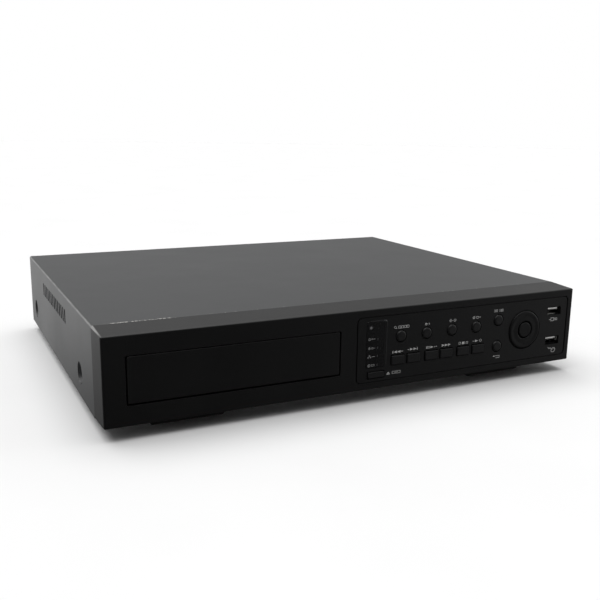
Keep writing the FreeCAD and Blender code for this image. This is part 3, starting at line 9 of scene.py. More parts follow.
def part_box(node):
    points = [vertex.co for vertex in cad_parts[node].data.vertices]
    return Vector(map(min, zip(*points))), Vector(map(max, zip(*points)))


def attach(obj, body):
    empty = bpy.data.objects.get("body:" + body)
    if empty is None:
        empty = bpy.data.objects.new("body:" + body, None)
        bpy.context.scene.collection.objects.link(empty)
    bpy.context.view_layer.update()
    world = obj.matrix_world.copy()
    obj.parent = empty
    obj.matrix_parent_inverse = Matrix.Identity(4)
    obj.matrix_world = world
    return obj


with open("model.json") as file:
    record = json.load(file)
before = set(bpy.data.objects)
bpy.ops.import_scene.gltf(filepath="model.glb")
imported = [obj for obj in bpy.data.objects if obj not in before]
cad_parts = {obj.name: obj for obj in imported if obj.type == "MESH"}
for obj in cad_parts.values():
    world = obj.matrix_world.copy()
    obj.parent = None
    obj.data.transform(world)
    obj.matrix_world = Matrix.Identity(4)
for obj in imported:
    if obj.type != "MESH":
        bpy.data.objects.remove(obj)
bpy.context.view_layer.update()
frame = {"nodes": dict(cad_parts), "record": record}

NODES = frame["nodes"]
scene = bpy.context.scene

MM = 0.001
FOOT = 8.3                       # height of the case's underside over the table, mm
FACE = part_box("control_panel")[0].y   # the control plate's front face, metres
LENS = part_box("status_window")[0].y   # the lens's front face, metres


# ------------------------------------------------------------------ camera
def aim(place, yaw, pitch, roll, lens):
    fwd = Vector((math.sin(yaw) * math.cos(pitch), math.cos(yaw) * math.cos(pitch), -math.sin(pitch)))
    right = fwd.cross(Vector((0, 0, 1))).normalized()
    up = right.cross(fwd)
    r2 = right * math.cos(roll) + up * math.sin(roll)
    u2 = up * math.cos(roll) - right * math.sin(roll)
    data = bpy.data.cameras.new("camera")
    data.lens = lens
    data.sensor_width = 36.0
    data.clip_start = 0.01
    data.clip_end = 50.0
    cam = bpy.data.objects.new("camera", data)
    scene.collection.objects.link(cam)
    turn = Matrix((r2, u2, -fwd)).transposed().to_4x4()
    cam.matrix_world = Matrix.Translation(place) @ turn
    scene.camera = cam
    return cam


aim(Vector((-0.27971, -0.61495, 0.19338)), 0.456855, 0.219911, 0.0141702, 46.54)
scene.view_settings.view_transform = "Standard"


# ------------------------------------------------------------------ small node helpers
class Paint:
    """One procedural material: a Principled shader with named helpers for its textures."""

    def __init__(self, name):
        self.mat = bpy.data.materials.new(name)
        self.mat.use_nodes = True
        self.nt = self.mat.node_tree
        self.nt.nodes.clear()
        self.out = self.nt.nodes.new("ShaderNodeOutputMaterial")
        self.bsdf = self.nt.nodes.new("ShaderNodeBsdfPrincipled")
        self.nt.links.new(self.bsdf.outputs["BSDF"], self.out.inputs["Surface"])
        self.co = self.nt.nodes.new("ShaderNodeTexCoord").outputs["Object"]
        self.height = None

    def link(self, a, b):
        self.nt.links.new(a, b)

    def node(self, kind, **inputs):
        n = self.nt.nodes.new(kind)
        for k, v in inputs.items():
            self.put(n.inputs[k], v)
        return n

    def put(self, socket, v):
        if isinstance(v, bpy.types.NodeSocket):
            self.nt.links.new(v, socket)
        else:
            socket.default_value = v

    def math(self, op, a, b=0.0, c=None, clamp=False):
        n = self.nt.nodes.new("ShaderNodeMath")
        n.operation = op
        n.use_clamp = clamp
        self.put(n.inputs[0], a)
        self.put(n.inputs[1], b)
        if c is not None:
            self.put(n.inputs[2], c)
        return n.outputs[0]

    def spread(self, v, lo, hi, a=0.0, b=1.0, smooth=False):
        n = self.nt.nodes.new("ShaderNodeMapRange")
        n.clamp = True
        if smooth:
            n.interpolation_type = "SMOOTHSTEP"
        self.put(n.inputs["Value"], v)
        for k, x in (("From Min", lo), ("From Max", hi), ("To Min", a), ("To Max", b)):
            self.put(n.inputs[k], x)
        return n.outputs["Result"]

    def stretched(self, x, y, z, turn=(0, 0, 0)):
        n = self.nt.nodes.new("ShaderNodeMapping")
        self.link(self.co, n.inputs["Vector"])
        n.inputs["Scale"].default_value = (x, y, z)
        n.inputs["Rotation"].default_value = turn
        return n.outputs["Vector"]

    def noise(self, size_mm, detail=2.0, rough=0.5, vector=None, distort=0.0):
        n = self.nt.nodes.new("ShaderNodeTexNoise")
        self.put(n.inputs["Vector"], vector or self.co)
        n.inputs["Scale"].default_value = 1000.0 / size_mm
        n.inputs["Detail"].default_value = detail
        n.inputs["Roughness"].default_value = rough
        n.inputs["Distortion"].default_value = distort
        return n.outputs["Fac"]

    def cells(self, size_mm, feature="F1", vector=None, randomness=1.0):
        n = self.nt.nodes.new("ShaderNodeTexVoronoi")
        n.feature = feature
        self.put(n.inputs["Vector"], vector or self.co)
        n.inputs["Scale"].default_value = 1000.0 / size_mm
        n.inputs["Randomness"].default_value = randomness
        return n

    def axis(self, name):
        n = self.nt.nodes.new("ShaderNodeSeparateXYZ")
        self.link(self.co, n.inputs[0])
        return n.outputs[name]

    def mix(self, fac, a, b):
        n = self.nt.nodes.new("ShaderNodeMix")
        n.data_type = "RGBA"
        self.put(n.inputs[0], fac)
        self.put(n.inputs[6], a if isinstance(a, bpy.types.NodeSocket) else (*a, 1.0))
        self.put(n.inputs[7], b if isinstance(b, bpy.types.NodeSocket) else (*b, 1.0))
        return n.outputs[2]

    def edge(self, radius_mm, lo=0.02, hi=0.25):
        """0 on flats, 1 on sharp outer edges."""
        bev = self.nt.nodes.new("ShaderNodeBevel")
        bev.samples = 4
        bev.inputs["Radius"].default_value = radius_mm * MM
        geo = self.nt.nodes.new("ShaderNodeNewGeometry")
        dot = self.nt.nodes.new("ShaderNodeVectorMath")
        dot.operation = "DOT_PRODUCT"
        self.link(bev.outputs["Normal"], dot.inputs[0])
        self.link(geo.outputs["True Normal"], dot.inputs[1])
        return self.spread(self.math("SUBTRACT", 1.0, dot.outputs["Value"]), lo, hi)

    def relief(self, *layers, soft_mm=None):
        """Bumps from (height texture, depth in mm) pairs, one after another."""
        normal = None
        if soft_mm:
            bev = self.nt.nodes.new("ShaderNodeBevel")
            bev.samples = 4
            bev.inputs["Radius"].default_value = soft_mm * MM
            normal = bev.outputs["Normal"]
        for tex, depth in layers:
            n = self.nt.nodes.new("ShaderNodeBump")
            n.inputs["Strength"].default_value = 1.0
            n.inputs["Distance"].default_value = depth * MM
            self.link(tex, n.inputs["Height"])
            if normal is not None:
                self.link(normal, n.inputs["Normal"])
            normal = n.outputs["Normal"]
        if normal is not None:
            self.link(normal, self.bsdf.inputs["Normal"])

    def set(self, color=None, rough=None, metal=None, spec=None, ior=None, coat=None, coat_rough=None,
            through=None, glow=None):
        b = self.bsdf
        if color is not None:
            self.put(b.inputs["Base Color"], color if isinstance(color, bpy.types.NodeSocket) else (*color, 1.0))
        if rough is not None:
            self.put(b.inputs["Roughness"], rough)
        if metal is not None:
            self.put(b.inputs["Metallic"], metal)
        if spec is not None:
            b.inputs["Specular IOR Level"].default_value = spec
        if ior is not None:
            b.inputs["IOR"].default_value = ior
        if coat is not None:
            b.inputs["Coat Weight"].default_value = coat
        if coat_rough is not None:
            b.inputs["Coat Roughness"].default_value = coat_rough
        if through is not None:
            b.inputs["Transmission Weight"].default_value = through
        return self.mat


# ------------------------------------------------------------------ materials
def cover_paint():
    p = Paint("cover_paint")
    lo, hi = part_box("top_cover")
    x, y, z = p.axis("X"), p.axis("Y"), p.axis("Z")
    cloud = p.noise(70, 3, 0.55)
    peel = p.noise(0.9, 3, 0.6)
    fleck = p.noise(0.5, 1, 0.5)
    base = p.mix(p.spread(cloud, 0.3, 0.7), (0.031, 0.0325, 0.0338), (0.038, 0.0395, 0.0408))
    base = p.mix(p.spread(fleck, 0.45, 0.75, 0.0, 0.35), base, (0.060, 0.062, 0.064))
    # dust lies on the top only, thinner where hands have wiped it
    up = p.spread(z, hi.z - 0.0012, hi.z - 0.0002)
    dust = p.math("MULTIPLY", p.spread(p.noise(1.3, 2, 0.7), 0.55, 0.80), p.spread(p.noise(45, 2), 0.35, 0.7, 0.05, 0.5))
    base = p.mix(p.math("MULTIPLY", dust, up), base, (0.105, 0.105, 0.102))
    # bright spots along the top of the front edge, most of them near the left end
    near_front = p.spread(y, lo.y + 0.0022, lo.y + 0.0004)
    near_top = p.spread(z, hi.z - 0.003, hi.z - 0.0008)
    left_end = p.math("MULTIPLY", p.spread(x, -0.126, -0.142), p.spread(x, -0.181, -0.177))
    spots = p.spread(p.math("ADD", p.noise(2.6, 2, 0.6), p.math("MULTIPLY", left_end, 0.13)), 0.62, 0.66)
    front_spots = p.math("MULTIPLY", p.math("MULTIPLY", near_front, near_top), p.math("MULTIPLY", spots, p.spread(left_end, 0, 1, 0.4, 1)))
    # rubbed corners
    rub = p.math("MULTIPLY", p.edge(0.7, 0.03, 0.30), p.spread(p.noise(9, 3, 0.6), 0.42, 0.72))
    base = p.mix(p.math("MULTIPLY", rub, 0.35), base, (0.16, 0.163, 0.165))
    # painted highlight: a pale line along the long bend on the left
    bend_highlight = p.math("MULTIPLY", p.spread(x, lo.x + 0.0011, lo.x + 0.0005), p.spread(z, hi.z - 0.0014, hi.z - 0.0006))
    bend_highlight = p.math("MULTIPLY", bend_highlight, p.spread(p.noise(14, 3, 0.6), 0.30, 0.62, 0.45, 1.0))
    base = p.mix(p.math("MULTIPLY", bend_highlight, 0.9), base, (0.27, 0.27, 0.265))
    base = p.mix(front_spots, base, (0.50, 0.49, 0.46))
    # hairline scratches across the top
    hair = p.noise(7, 1, 0.4, vector=p.stretched(1.0, 26.0, 1.0, (0, 0, 0.5)))
    scratch = p.math("MULTIPLY", p.spread(hair, 0.735, 0.76), up)
    base = p.mix(p.math("MULTIPLY", scratch, 0.25), base, (0.14, 0.14, 0.14))
    rough = p.spread(cloud, 0.25, 0.75, 0.40, 0.46)
    rough = p.math("ADD", rough, p.math("MULTIPLY", dust, 0.10))
    rough = p.math("SUBTRACT", rough, p.math("MULTIPLY", rub, 0.08))
    p.relief((peel, 0.010), (fleck, 0.004), (front_spots, -0.03))
    return p.set(base, rough, spec=0.5)


def moulded(name, dark, light, rough, spec, grain=0.55, depth=0.010, wear=0.25, worn=(0.05, 0.05, 0.052), soft=None):
    """Injection-moulded plastic with a spark-eroded texture, shinier where it is handled."""
    p = Paint(name)
    cloud = p.noise(38, 3, 0.5)
    grit = p.noise(grain, 2, 0.6)
    pits = p.cells(grain * 1.4).outputs["Distance"]
    base = p.mix(p.spread(cloud, 0.3, 0.7), dark, light)
    base = p.mix(p.spread(grit, 0.5, 0.8, 0.0, 0.25), base, worn)
    rim = p.math("MULTIPLY", p.edge(0.35, 0.03, 0.3), p.spread(p.noise(6, 2), 0.35, 0.7, 0.3, 1.0))
    base = p.mix(p.math("MULTIPLY", rim, wear), base, worn)
    r = p.spread(cloud, 0.25, 0.75, rough[0], rough[1])
    r = p.math("SUBTRACT", r, p.math("MULTIPLY", rim, 0.10))
    p.relief((grit, depth), (pits, depth * 0.5), soft_mm=soft)
    return p.set(base, r, spec=spec)


def fascia_plastic():
    """The front moulding: black on its face, and lighter grey on its upward faces: dust together with painted top
    light.
    """
    p = Paint("bezel_plastic")
    cloud = p.noise(38, 3, 0.5)
    grit = p.noise(0.55, 2, 0.6)
    pits = p.cells(0.8).outputs["Distance"]
    geo = p.nt.nodes.new("ShaderNodeNewGeometry")
    sep = p.nt.nodes.new("ShaderNodeSeparateXYZ")
    p.link(geo.outputs["Normal"], sep.inputs[0])
    up = p.spread(sep.outputs["Z"], 0.35, 0.95, smooth=True)
    base = p.mix(p.spread(cloud, 0.3, 0.7), (0.0016, 0.0016, 0.0019), (0.0024, 0.0024, 0.0027))
    # upward faces lighter grey: dust, and painted top light
    top_dust_and_light = p.math("MULTIPLY", up, p.spread(p.noise(1.2, 2, 0.6), 0.3, 0.7, 0.75, 1.0))
    base = p.mix(top_dust_and_light, base, (0.016, 0.016, 0.016))
    rim = p.math("MULTIPLY", p.edge(0.5, 0.03, 0.3), p.spread(p.noise(6, 2), 0.35, 0.7, 0.3, 1.0))
    base = p.mix(p.math("MULTIPLY", rim, 0.5), base, (0.020, 0.020, 0.021))
    # painted highlight: a pale line along the top left edge
    lo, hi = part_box("front_fascia")
    x, z = p.axis("X"), p.axis("Z")
    worn = p.math("MULTIPLY", p.spread(x, lo.x + 0.0017, lo.x + 0.0009), p.spread(z, hi.z - 0.0017, hi.z - 0.0009))
    worn = p.math("MULTIPLY", worn, p.spread(p.noise(6, 3, 0.6), 0.30, 0.60, 0.8, 1.0))
    base = p.mix(worn, base, (0.30, 0.30, 0.295))
    r = p.spread(cloud, 0.25, 0.75, 0.46, 0.54)
    p.relief((grit, 0.010), (pits, 0.005))
    return p.set(base, r, spec=0.45)


def steel(name, dark, light, rough=(0.30, 0.46), spangle=4.5):
    """Zinc-plated sheet: crystals of slightly different grey, fine rolling lines."""
    p = Paint(name)
    v = p.cells(spangle)
    sep = p.nt.nodes.new("ShaderNodeSeparateColor")
    p.link(v.outputs["Color"], sep.inputs[0])
    grain = sep.outputs[0]
    roll = p.noise(1.6, 3, 0.6, vector=p.stretched(0.04, 1.0, 1.0))
    base = p.mix(p.spread(grain, 0, 1), dark, light)
    base = p.mix(p.spread(roll, 0.4, 0.7, 0.0, 0.25), base, tuple(c * 0.72 for c in dark))
    stain = p.spread(p.noise(24, 4, 0.65), 0.55, 0.75, 0.0, 0.35)
    base = p.mix(stain, base, tuple(c * 0.6 for c in dark))
    r = p.math("ADD", p.spread(grain, 0, 1, rough[0], rough[1]), p.math("MULTIPLY", stain, 0.2))
    p.relief((roll, 0.004), (p.noise(0.5, 1), 0.002), soft_mm=0.15)
    return p.set(base, r, metal=1.0)


def plated(name, dark, light, rough, line=0.35, soft=0.1):
    """Turned or stamped metal, with machining lines and a little tarnish."""
    p = Paint(name)
    tar = p.noise(5, 4, 0.6)
    lines = p.noise(line, 1, 0.4, vector=p.stretched(0.3, 1.0, 0.3))
    base = p.mix(p.spread(tar, 0.35, 0.75), light, dark)
    r = p.math("ADD", p.spread(tar, 0.3, 0.7, rough[0], rough[1]), p.math("MULTIPLY", lines, 0.06))
    p.relief((lines, 0.003), soft_mm=soft)
    return p.set(base, r, metal=1.0)


def board_mask():
    """Solder mask over copper tracks, with bare pads and printed outlines."""
    p = Paint("circuit_board")
    brick = p.nt.nodes.new("ShaderNodeTexBrick")
    p.link(p.stretched(1, 1, 1), brick.inputs["Vector"])
    brick.inputs["Scale"].default_value = 210.0
    brick.inputs["Mortar Size"].default_value = 0.018
    brick.inputs["Mortar Smooth"].default_value = 0.1
    brick.offset = 0.37
    brick.squash = 1.7
    track = p.spread(brick.outputs["Fac"], 0.2, 0.8)
    veins = p.cells(2.4, "DISTANCE_TO_EDGE", randomness=0.35)
    lane = p.spread(veins.outputs["Distance"], 0.06, 0.03)
    pads = p.spread(p.cells(2.54, randomness=0.25).outputs["Distance"], 0.20, 0.16)
    pick = p.spread(p.noise(14, 1), 0.54, 0.56)
    base = p.mix(p.spread(p.noise(18, 2), 0.3, 0.7), (0.008, 0.060, 0.022), (0.012, 0.080, 0.030))
    base = p.mix(p.math("MULTIPLY", lane, 0.8), base, (0.020, 0.130, 0.045))
    base = p.mix(p.math("MULTIPLY", track, 0.5), base, (0.024, 0.150, 0.055))
    base = p.mix(p.math("MULTIPLY", pads, pick), base, (0.62, 0.60, 0.52))
    r = p.spread(p.noise(3, 2), 0.3, 0.7, 0.26, 0.38)
    p.relief((lane, 0.03), (pads, 0.02))
    return p.set(base, r, spec=0.5)


def flat_strip(name, dark, light, axis, pitch):
    """Flat cable: parallel cores under a ribbed jacket."""
    p = Paint(name)
    w = p.math("SINE", p.math("MULTIPLY", p.axis(axis), 2 * math.pi / (pitch * MM)))
    core = p.spread(w, -1, 1)
    base = p.mix(core, dark, light)
    base = p.mix(p.spread(p.noise(8, 2), 0.5, 0.8, 0.0, 0.3), base, tuple(c * 0.7 for c in dark))
    p.relief((core, 0.25), (p.noise(0.6, 1), 0.01))
    return p.set(base, p.spread(p.noise(6, 2), 0.3, 0.7, 0.38, 0.5), spec=0.45)


def smoked():
    """The dark window: glossy, faintly scuffed, with a grey bloom near its edges."""
    p = Paint("lens")
    cloud = p.noise(16, 3, 0.6)
    scuff = p.spread(p.noise(4, 1, 0.4, vector=p.stretched(9.0, 1.0, 1.0, (0, 0.6, 0))), 0.70, 0.76)
    base = p.mix(p.spread(cloud, 0.3, 0.7), (0.0016, 0.0016, 0.0020), (0.0024, 0.0024, 0.0028))
    base = p.mix(p.math("MULTIPLY", scuff, 0.3), base, (0.03, 0.03, 0.03))
    rim = p.edge(0.5, 0.02, 0.25)
    base = p.mix(p.math("MULTIPLY", rim, 0.6), base, (0.055, 0.055, 0.058))
    r = p.math("ADD", p.spread(cloud, 0.3, 0.7, 0.14, 0.22), p.math("MULTIPLY", scuff, 0.25))
    p.relief((p.noise(1.2, 1), 0.002))
    return p.set(base, r, spec=0.5)


def ink(name, tone, worn, patchy=0.25):
    """Screen-printed ink: slightly uneven cover and a matt surface. The same recipe colours the painted highlights on
    the window.
    """
    p = Paint(name)
    thin = p.noise(0.35, 2, 0.6)
    base = p.mix(p.spread(thin, 0.5, 0.85, 0.0, patchy), tone, worn)
    p.relief((thin, 0.004))
    return p.set(base, p.spread(p.noise(2, 2), 0.3, 0.7, 0.55, 0.7), spec=0.3)


def rubber():
    p = Paint("foot_rubber")
    base = p.mix(p.spread(p.noise(9, 3), 0.3, 0.7), (0.011, 0.011, 0.011), (0.018, 0.018, 0.0175))
    dust = p.spread(p.noise(1.0, 2, 0.7), 0.5, 0.8, 0, 0.5)
    base = p.mix(dust, base, (0.05, 0.05, 0.047))
    p.relief((p.noise(0.4, 2), 0.02), soft_mm=0.3)
    return p.set(base, p.spread(p.noise(6, 2), 0.3, 0.7, 0.72, 0.86), spec=0.35)


def gloss(name, dark, light, rough=(0.2, 0.3), spec=0.5, through=None):
    p = Paint(name)
    cloud = p.noise(6, 3, 0.5)
    base = p.mix(p.spread(cloud, 0.3, 0.7), dark, light)
    flow = p.noise(0.8, 1)
    p.relief((flow, 0.003), soft_mm=0.15)
    return p.set(base, p.spread(cloud, 0.3, 0.7, *rough), spec=spec, through=through)


def aluminium():
    p = Paint("drive_aluminium")
    cast = p.noise(0.7, 3, 0.6)
    cloud = p.noise(22, 3)
    base = p.mix(p.spread(cloud, 0.3, 0.7), (0.50, 0.51, 0.52), (0.62, 0.63, 0.64))
    p.relief((cast, 0.02), soft_mm=0.25)
    return p.set(base, p.spread(cast, 0.3, 0.7, 0.34, 0.5), metal=1.0)


def port_shell():
    """Port shell: dark all round, with painted highlights on the upper port's lower lip and the lower port's right
    wall.
    """
    p = Paint("port_shell")
    x, z = p.axis("X"), p.axis("Z")

    def near(v, at, half):
        return p.spread(p.math("ABSOLUTE", p.math("SUBTRACT", v, at * MM)), half * MM, half * MM * 0.6)

    # painted highlights: pale patches on the upper port's lower lip and, weaker, on the lower port's right wall
    lip = p.math("MULTIPLY", near(z, 40.95 + FOOT, 0.65), near(x, 169.2, 5.2))
    wall = p.math("MULTIPLY", near(x, 177.8, 0.55), near(z, 19.6 + FOOT, 2.4))
    patch = p.spread(p.noise(3.0, 2, 0.6), 0.30, 0.55, 0.55, 1.0)
    shell_highlight = p.math("MULTIPLY", p.math("ADD", lip, p.math("MULTIPLY", wall, 0.45)), patch, clamp=True)
    base = p.mix(p.spread(p.noise(4, 2), 0.3, 0.7), (0.030, 0.030, 0.031), (0.050, 0.050, 0.051))
    base = p.mix(shell_highlight, base, (0.52, 0.52, 0.50))
    p.relief((p.noise(0.4, 2), 0.003), soft_mm=0.1)
    return p.set(base, p.spread(p.noise(2, 2), 0.3, 0.7, 0.34, 0.46), metal=p.spread(shell_highlight, 0.0, 1.0, 0.9, 0.15))


def port_tongue():
    """White tongue with painted shade along the lower part of its front, and four gold contacts along its lower side.
    """
    p = Paint("port_tongue")
    w = p.math("SINE", p.math("MULTIPLY", p.math("SUBTRACT", p.axis("X"), 171.25 * MM), 2 * math.pi / (2.5 * MM)))
    down = p.nt.nodes.new("ShaderNodeNewGeometry")
    sep = p.nt.nodes.new("ShaderNodeSeparateXYZ")
    p.link(down.outputs["Normal"], sep.inputs[0])
    below = p.spread(sep.outputs["Z"], -0.5, -0.9)
    gold = p.math("MULTIPLY", p.spread(w, 0.30, 0.42), below)
    base = p.mix(p.spread(p.noise(5, 2), 0.3, 0.7), (0.70, 0.70, 0.68), (0.80, 0.80, 0.78))
    # painted shade: a dark band along the lower part of each tongue's front
    z = p.axis("Z")
    low = None
    for at in (43.7, 19.2):
        off = p.math("ABSOLUTE", p.math("SUBTRACT", z, (at + 0.40 + FOOT) * MM))
        here = p.spread(off, 0.00048, 0.00036)
        low = here if low is None else p.math("MAXIMUM", low, here)
    base = p.mix(low, base, (0.030, 0.030, 0.031))
    base = p.mix(gold, base, (0.75, 0.52, 0.20))
    p.relief((p.noise(0.5, 2), 0.004), soft_mm=0.1)
    return p.set(base, p.spread(p.noise(3, 2), 0.3, 0.7, 0.36, 0.46), metal=gold, spec=0.5)


FINISH = {
    "cover_paint": cover_paint(),
    "zinc_steel": steel("zinc_steel", (0.40, 0.41, 0.42), (0.55, 0.56, 0.57)),
    "bezel_plastic": fascia_plastic(),
    "plate_plastic": moulded("plate_plastic", (0.0020, 0.0020, 0.0024), (0.0030, 0.0030, 0.0034), (0.40, 0.47), 0.45,
                             worn=(0.020, 0.020, 0.021)),
    "key_plastic": moulded("key_plastic", (0.0030, 0.0030, 0.0034), (0.0042, 0.0042, 0.0047), (0.36, 0.44), 0.5,
                           grain=0.4, depth=0.006, worn=(0.030, 0.030, 0.032), wear=0.5),
    "lens": smoked(),
    "lamp": gloss("lamp", (0.42, 0.42, 0.38), (0.52, 0.52, 0.48), (0.12, 0.2)),
    "tray_plastic": moulded("tray_plastic", (0.010, 0.010, 0.011), (0.014, 0.014, 0.015), (0.36, 0.46), 0.35,
                            worn=(0.045, 0.045, 0.047), soft=0.2),
    "inner_plastic": moulded("inner_plastic", (0.016, 0.016, 0.017), (0.022, 0.022, 0.023), (0.40, 0.52), 0.4,
                             worn=(0.06, 0.06, 0.06), soft=0.2),
    "circuit_board": board_mask(),
    "chip_plastic": moulded("chip_plastic", (0.012, 0.012, 0.012), (0.018, 0.018, 0.018), (0.5, 0.62), 0.4,
                            grain=0.3, worn=(0.05, 0.05, 0.05), soft=0.1),
    "drive_aluminium": aluminium(),
    "nickel": plated("nickel", (0.44, 0.42, 0.39), (0.62, 0.61, 0.58), (0.16, 0.28)),
    "brass": plated("brass", (0.46, 0.32, 0.13), (0.64, 0.47, 0.20), (0.2, 0.34)),
    "terminal_green": gloss("terminal_green", (0.018, 0.17, 0.055), (0.026, 0.22, 0.075), (0.3, 0.4)),
    "ribbon_grey": flat_strip("ribbon_grey", (0.23, 0.23, 0.24), (0.33, 0.33, 0.34), "X", 1.27),
    "cable_red": flat_strip("cable_red", (0.26, 0.018, 0.012), (0.36, 0.028, 0.018), "Z", 2.6),
    "black_screw": plated("black_screw", (0.020, 0.020, 0.021), (0.045, 0.045, 0.047), (0.3, 0.42)),
    "zinc_screw": plated("zinc_screw", (0.42, 0.43, 0.44), (0.58, 0.59, 0.60), (0.22, 0.34)),
    "foot_rubber": rubber(),
}
RING = moulded("ring_plastic", (0.0016, 0.0016, 0.0019), (0.0024, 0.0024, 0.0027), (0.40, 0.47), 0.36,
               grain=0.4, depth=0.006, worn=(0.016, 0.016, 0.017), wear=0.5)
SPECIAL = {"front_usb_shells": port_shell(), "front_usb_tongues": port_tongue(), "nav_ring": RING, "ok_button": RING}

SLOT_OF = {}
for body_nodes in frame["record"].get("nodes", []):
    if isinstance(body_nodes, dict) and "slot" in body_nodes:
        SLOT_OF[body_nodes.get("name") or body_nodes.get("id")] = body_nodes["slot"]
for name, obj in NODES.items():
    old = [s.material.name for s in obj.material_slots if s.material]
    slot = SLOT_OF.get(name)
    if slot is None:
        slot = next((k for o in old for k in FINISH if o == k or o.split(".")[0] == k), None)
    if slot is None:
        raise SystemExit(f"no finish for {name}: {old}")
    if obj.material_slots:
        for s in obj.material_slots:
            s.material = SPECIAL.get(name, FINISH[slot])
    else:
        obj.data.materials.append(FINISH[slot])


# ------------------------------------------------------------------ printed signs, and painted highlights on the window
class Print:
    """Thin shapes on an upright face: printed signs, and painted highlights. Places are in millimetres across and above
    the case's underside.
    """

    def __init__(self, name, y_face, material, body="chassis", slot=None, thick=0.03, sunk=0.01, fit=None,
                 over=None):
        self.name, self.bm = name, bmesh.new()
        self.over, self.thick, self.y_face = over, thick * MM, y_face
        self.fit = fit or (0.0, 0.0, 1.0, 1.0)      # centre, then the shrink across and up
        self.y0, self.y1 = y_face - thick * MM, y_face + sunk * MM
        self.material, self.body, self.slotname = material, body, slot

    def _v(self, p, y):
        cx, cz, kx, kz = self.fit
        x, z = (cx + (p[0] - cx) * kx) * MM, (cz + (p[1] - cz) * kz + FOOT) * MM
        if self.over is not None:                    # drop the point onto the curved part behind it
            m = self.over.matrix_world
            start = m.inverted() @ Vector((x, self.y_face - 0.02, z))
            hit, place, _, _ = self.over.ray_cast(start, m.inverted().to_3x3() @ Vector((0, 1, 0)))
            if hit:
                y += (m @ place).y - self.y_face
        return self.bm.verts.new((x, y, z))

    def fill(self, pts):
        a = [self._v(p, self.y0) for p in pts]
        b = [self._v(p, self.y1) for p in pts]
        self.bm.faces.new(a)
        self.bm.faces.new(b[::-1])
        n = len(pts)
        for i in range(n):
            self.bm.faces.new((a[i], b[i], b[(i + 1) % n], a[(i + 1) % n]))

    def band(self, left, right, closed=False):
        n = len(left)
        rows = [(self._v(l, self.y0), self._v(r, self.y0), self._v(l, self.y1), self._v(r, self.y1))
                for l, r in zip(left, right)]
        for i in range(n if closed else n - 1):
            p, q = rows[i], rows[(i + 1) % n]
            self.bm.faces.new((p[0], q[0], q[1], p[1]))
            self.bm.faces.new((p[3], q[3], q[2], p[2]))
            self.bm.faces.new((p[0], p[2], q[2], q[0]))
            self.bm.faces.new((p[1], q[1], q[3], p[3]))
        if not closed:
            for p in (rows[0], rows[-1]):
                self.bm.faces.new((p[0], p[1], p[3], p[2]))

    def line(self, pts, w):
        """A stroke through the points, mitred."""
        left, right = [], []
        for i, p in enumerate(pts):
            a = Vector(pts[i - 1]) if i else None
            b = Vector(pts[i + 1]) if i < len(pts) - 1 else None
            here = Vector(p)
            d1 = (here - a).normalized() if a is not None else (b - here).normalized()
            d2 = (b - here).normalized() if b is not None else d1
            t = (d1 + d2).normalized()
            nrm = Vector((-t.y, t.x))
            k = 1.0 / max(0.35, t.dot(d2))
            left.append(here + nrm * w / 2 * k)
            right.append(here - nrm * w / 2 * k)
        self.band(left, right)

    def ring(self, cx, cz, r, w, a0=0.0, a1=360.0, n=28):
        full = abs(a1 - a0) >= 359.9
        m = n if full else max(4, int(n * abs(a1 - a0) / 360))
        ang = [math.radians(a0 + (a1 - a0) * i / m) for i in range(m if full else m + 1)]
        left = [(cx + (r + w / 2) * math.cos(t), cz + (r + w / 2) * math.sin(t)) for t in ang]
        right = [(cx + (r - w / 2) * math.cos(t), cz + (r - w / 2) * math.sin(t)) for t in ang]
        self.band(left, right, full)

    def dot(self, cx, cz, r, n=20):
        self.fill([(cx + r * math.cos(2 * math.pi * i / n), cz + r * math.sin(2 * math.pi * i / n)) for i in range(n)])

    def bar(self, x0, z0, x1, z1):
        self.fill([(x0, z0), (x1, z0), (x1, z1), (x0, z1)])

    def frame(self, x0, z0, x1, z1, w):
        h = w / 2
        outer = [(x0 - h, z0 - h), (x1 + h, z0 - h), (x1 + h, z1 + h), (x0 - h, z1 + h)]
        inner = [(x0 + h, z0 + h), (x1 - h, z0 + h), (x1 - h, z1 - h), (x0 + h, z1 - h)]
        self.band(outer, inner, True)

    def tri(self, cx, cz, w, h, way):
        s = 1 if way in ("right", "up") else -1
        if way in ("left", "right"):
            self.fill([(cx - s * w / 2, cz - h / 2), (cx + s * w / 2, cz), (cx - s * w / 2, cz + h / 2)])
        else:
            self.fill([(cx - w / 2, cz - s * h / 2), (cx + w / 2, cz - s * h / 2), (cx, cz + s * h / 2)])

    def done(self):
        bmesh.ops.recalc_face_normals(self.bm, faces=self.bm.faces)
        me = bpy.data.meshes.new(self.name)
        self.bm.to_mesh(me)
        self.bm.free()
        me.materials.append(self.material)
        ob = bpy.data.objects.new(self.name, me)
        scene.collection.objects.link(ob)
        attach(ob, self.body)
        return ob


LIGHT_INK = ink("light_ink", (0.40, 0.40, 0.395), (0.22, 0.22, 0.22))
DIM_INK = ink("dim_ink", (0.17, 0.17, 0.17), (0.09, 0.09, 0.09))
LAMP_MARK = ink("lamp_mark", (0.045, 0.045, 0.048), (0.03, 0.03, 0.03))
EYE = ink("receiver_eye", (0.13, 0.13, 0.135), (0.08, 0.08, 0.08))

# search: a glass over a row of picture frames
s = Print("print_search", FACE, LIGHT_INK, fit=(25.2, 45.0, 0.93, 0.78))
s.ring(19.9, 45.25, 0.95, 0.32)
s.line([(20.5, 44.6), (21.6, 43.6)], 0.38)
for k in range(4):
    s.frame(23.0 + 2.55 * k, 43.95, 24.9 + 2.55 * k, 46.15, 0.32)
s.done()

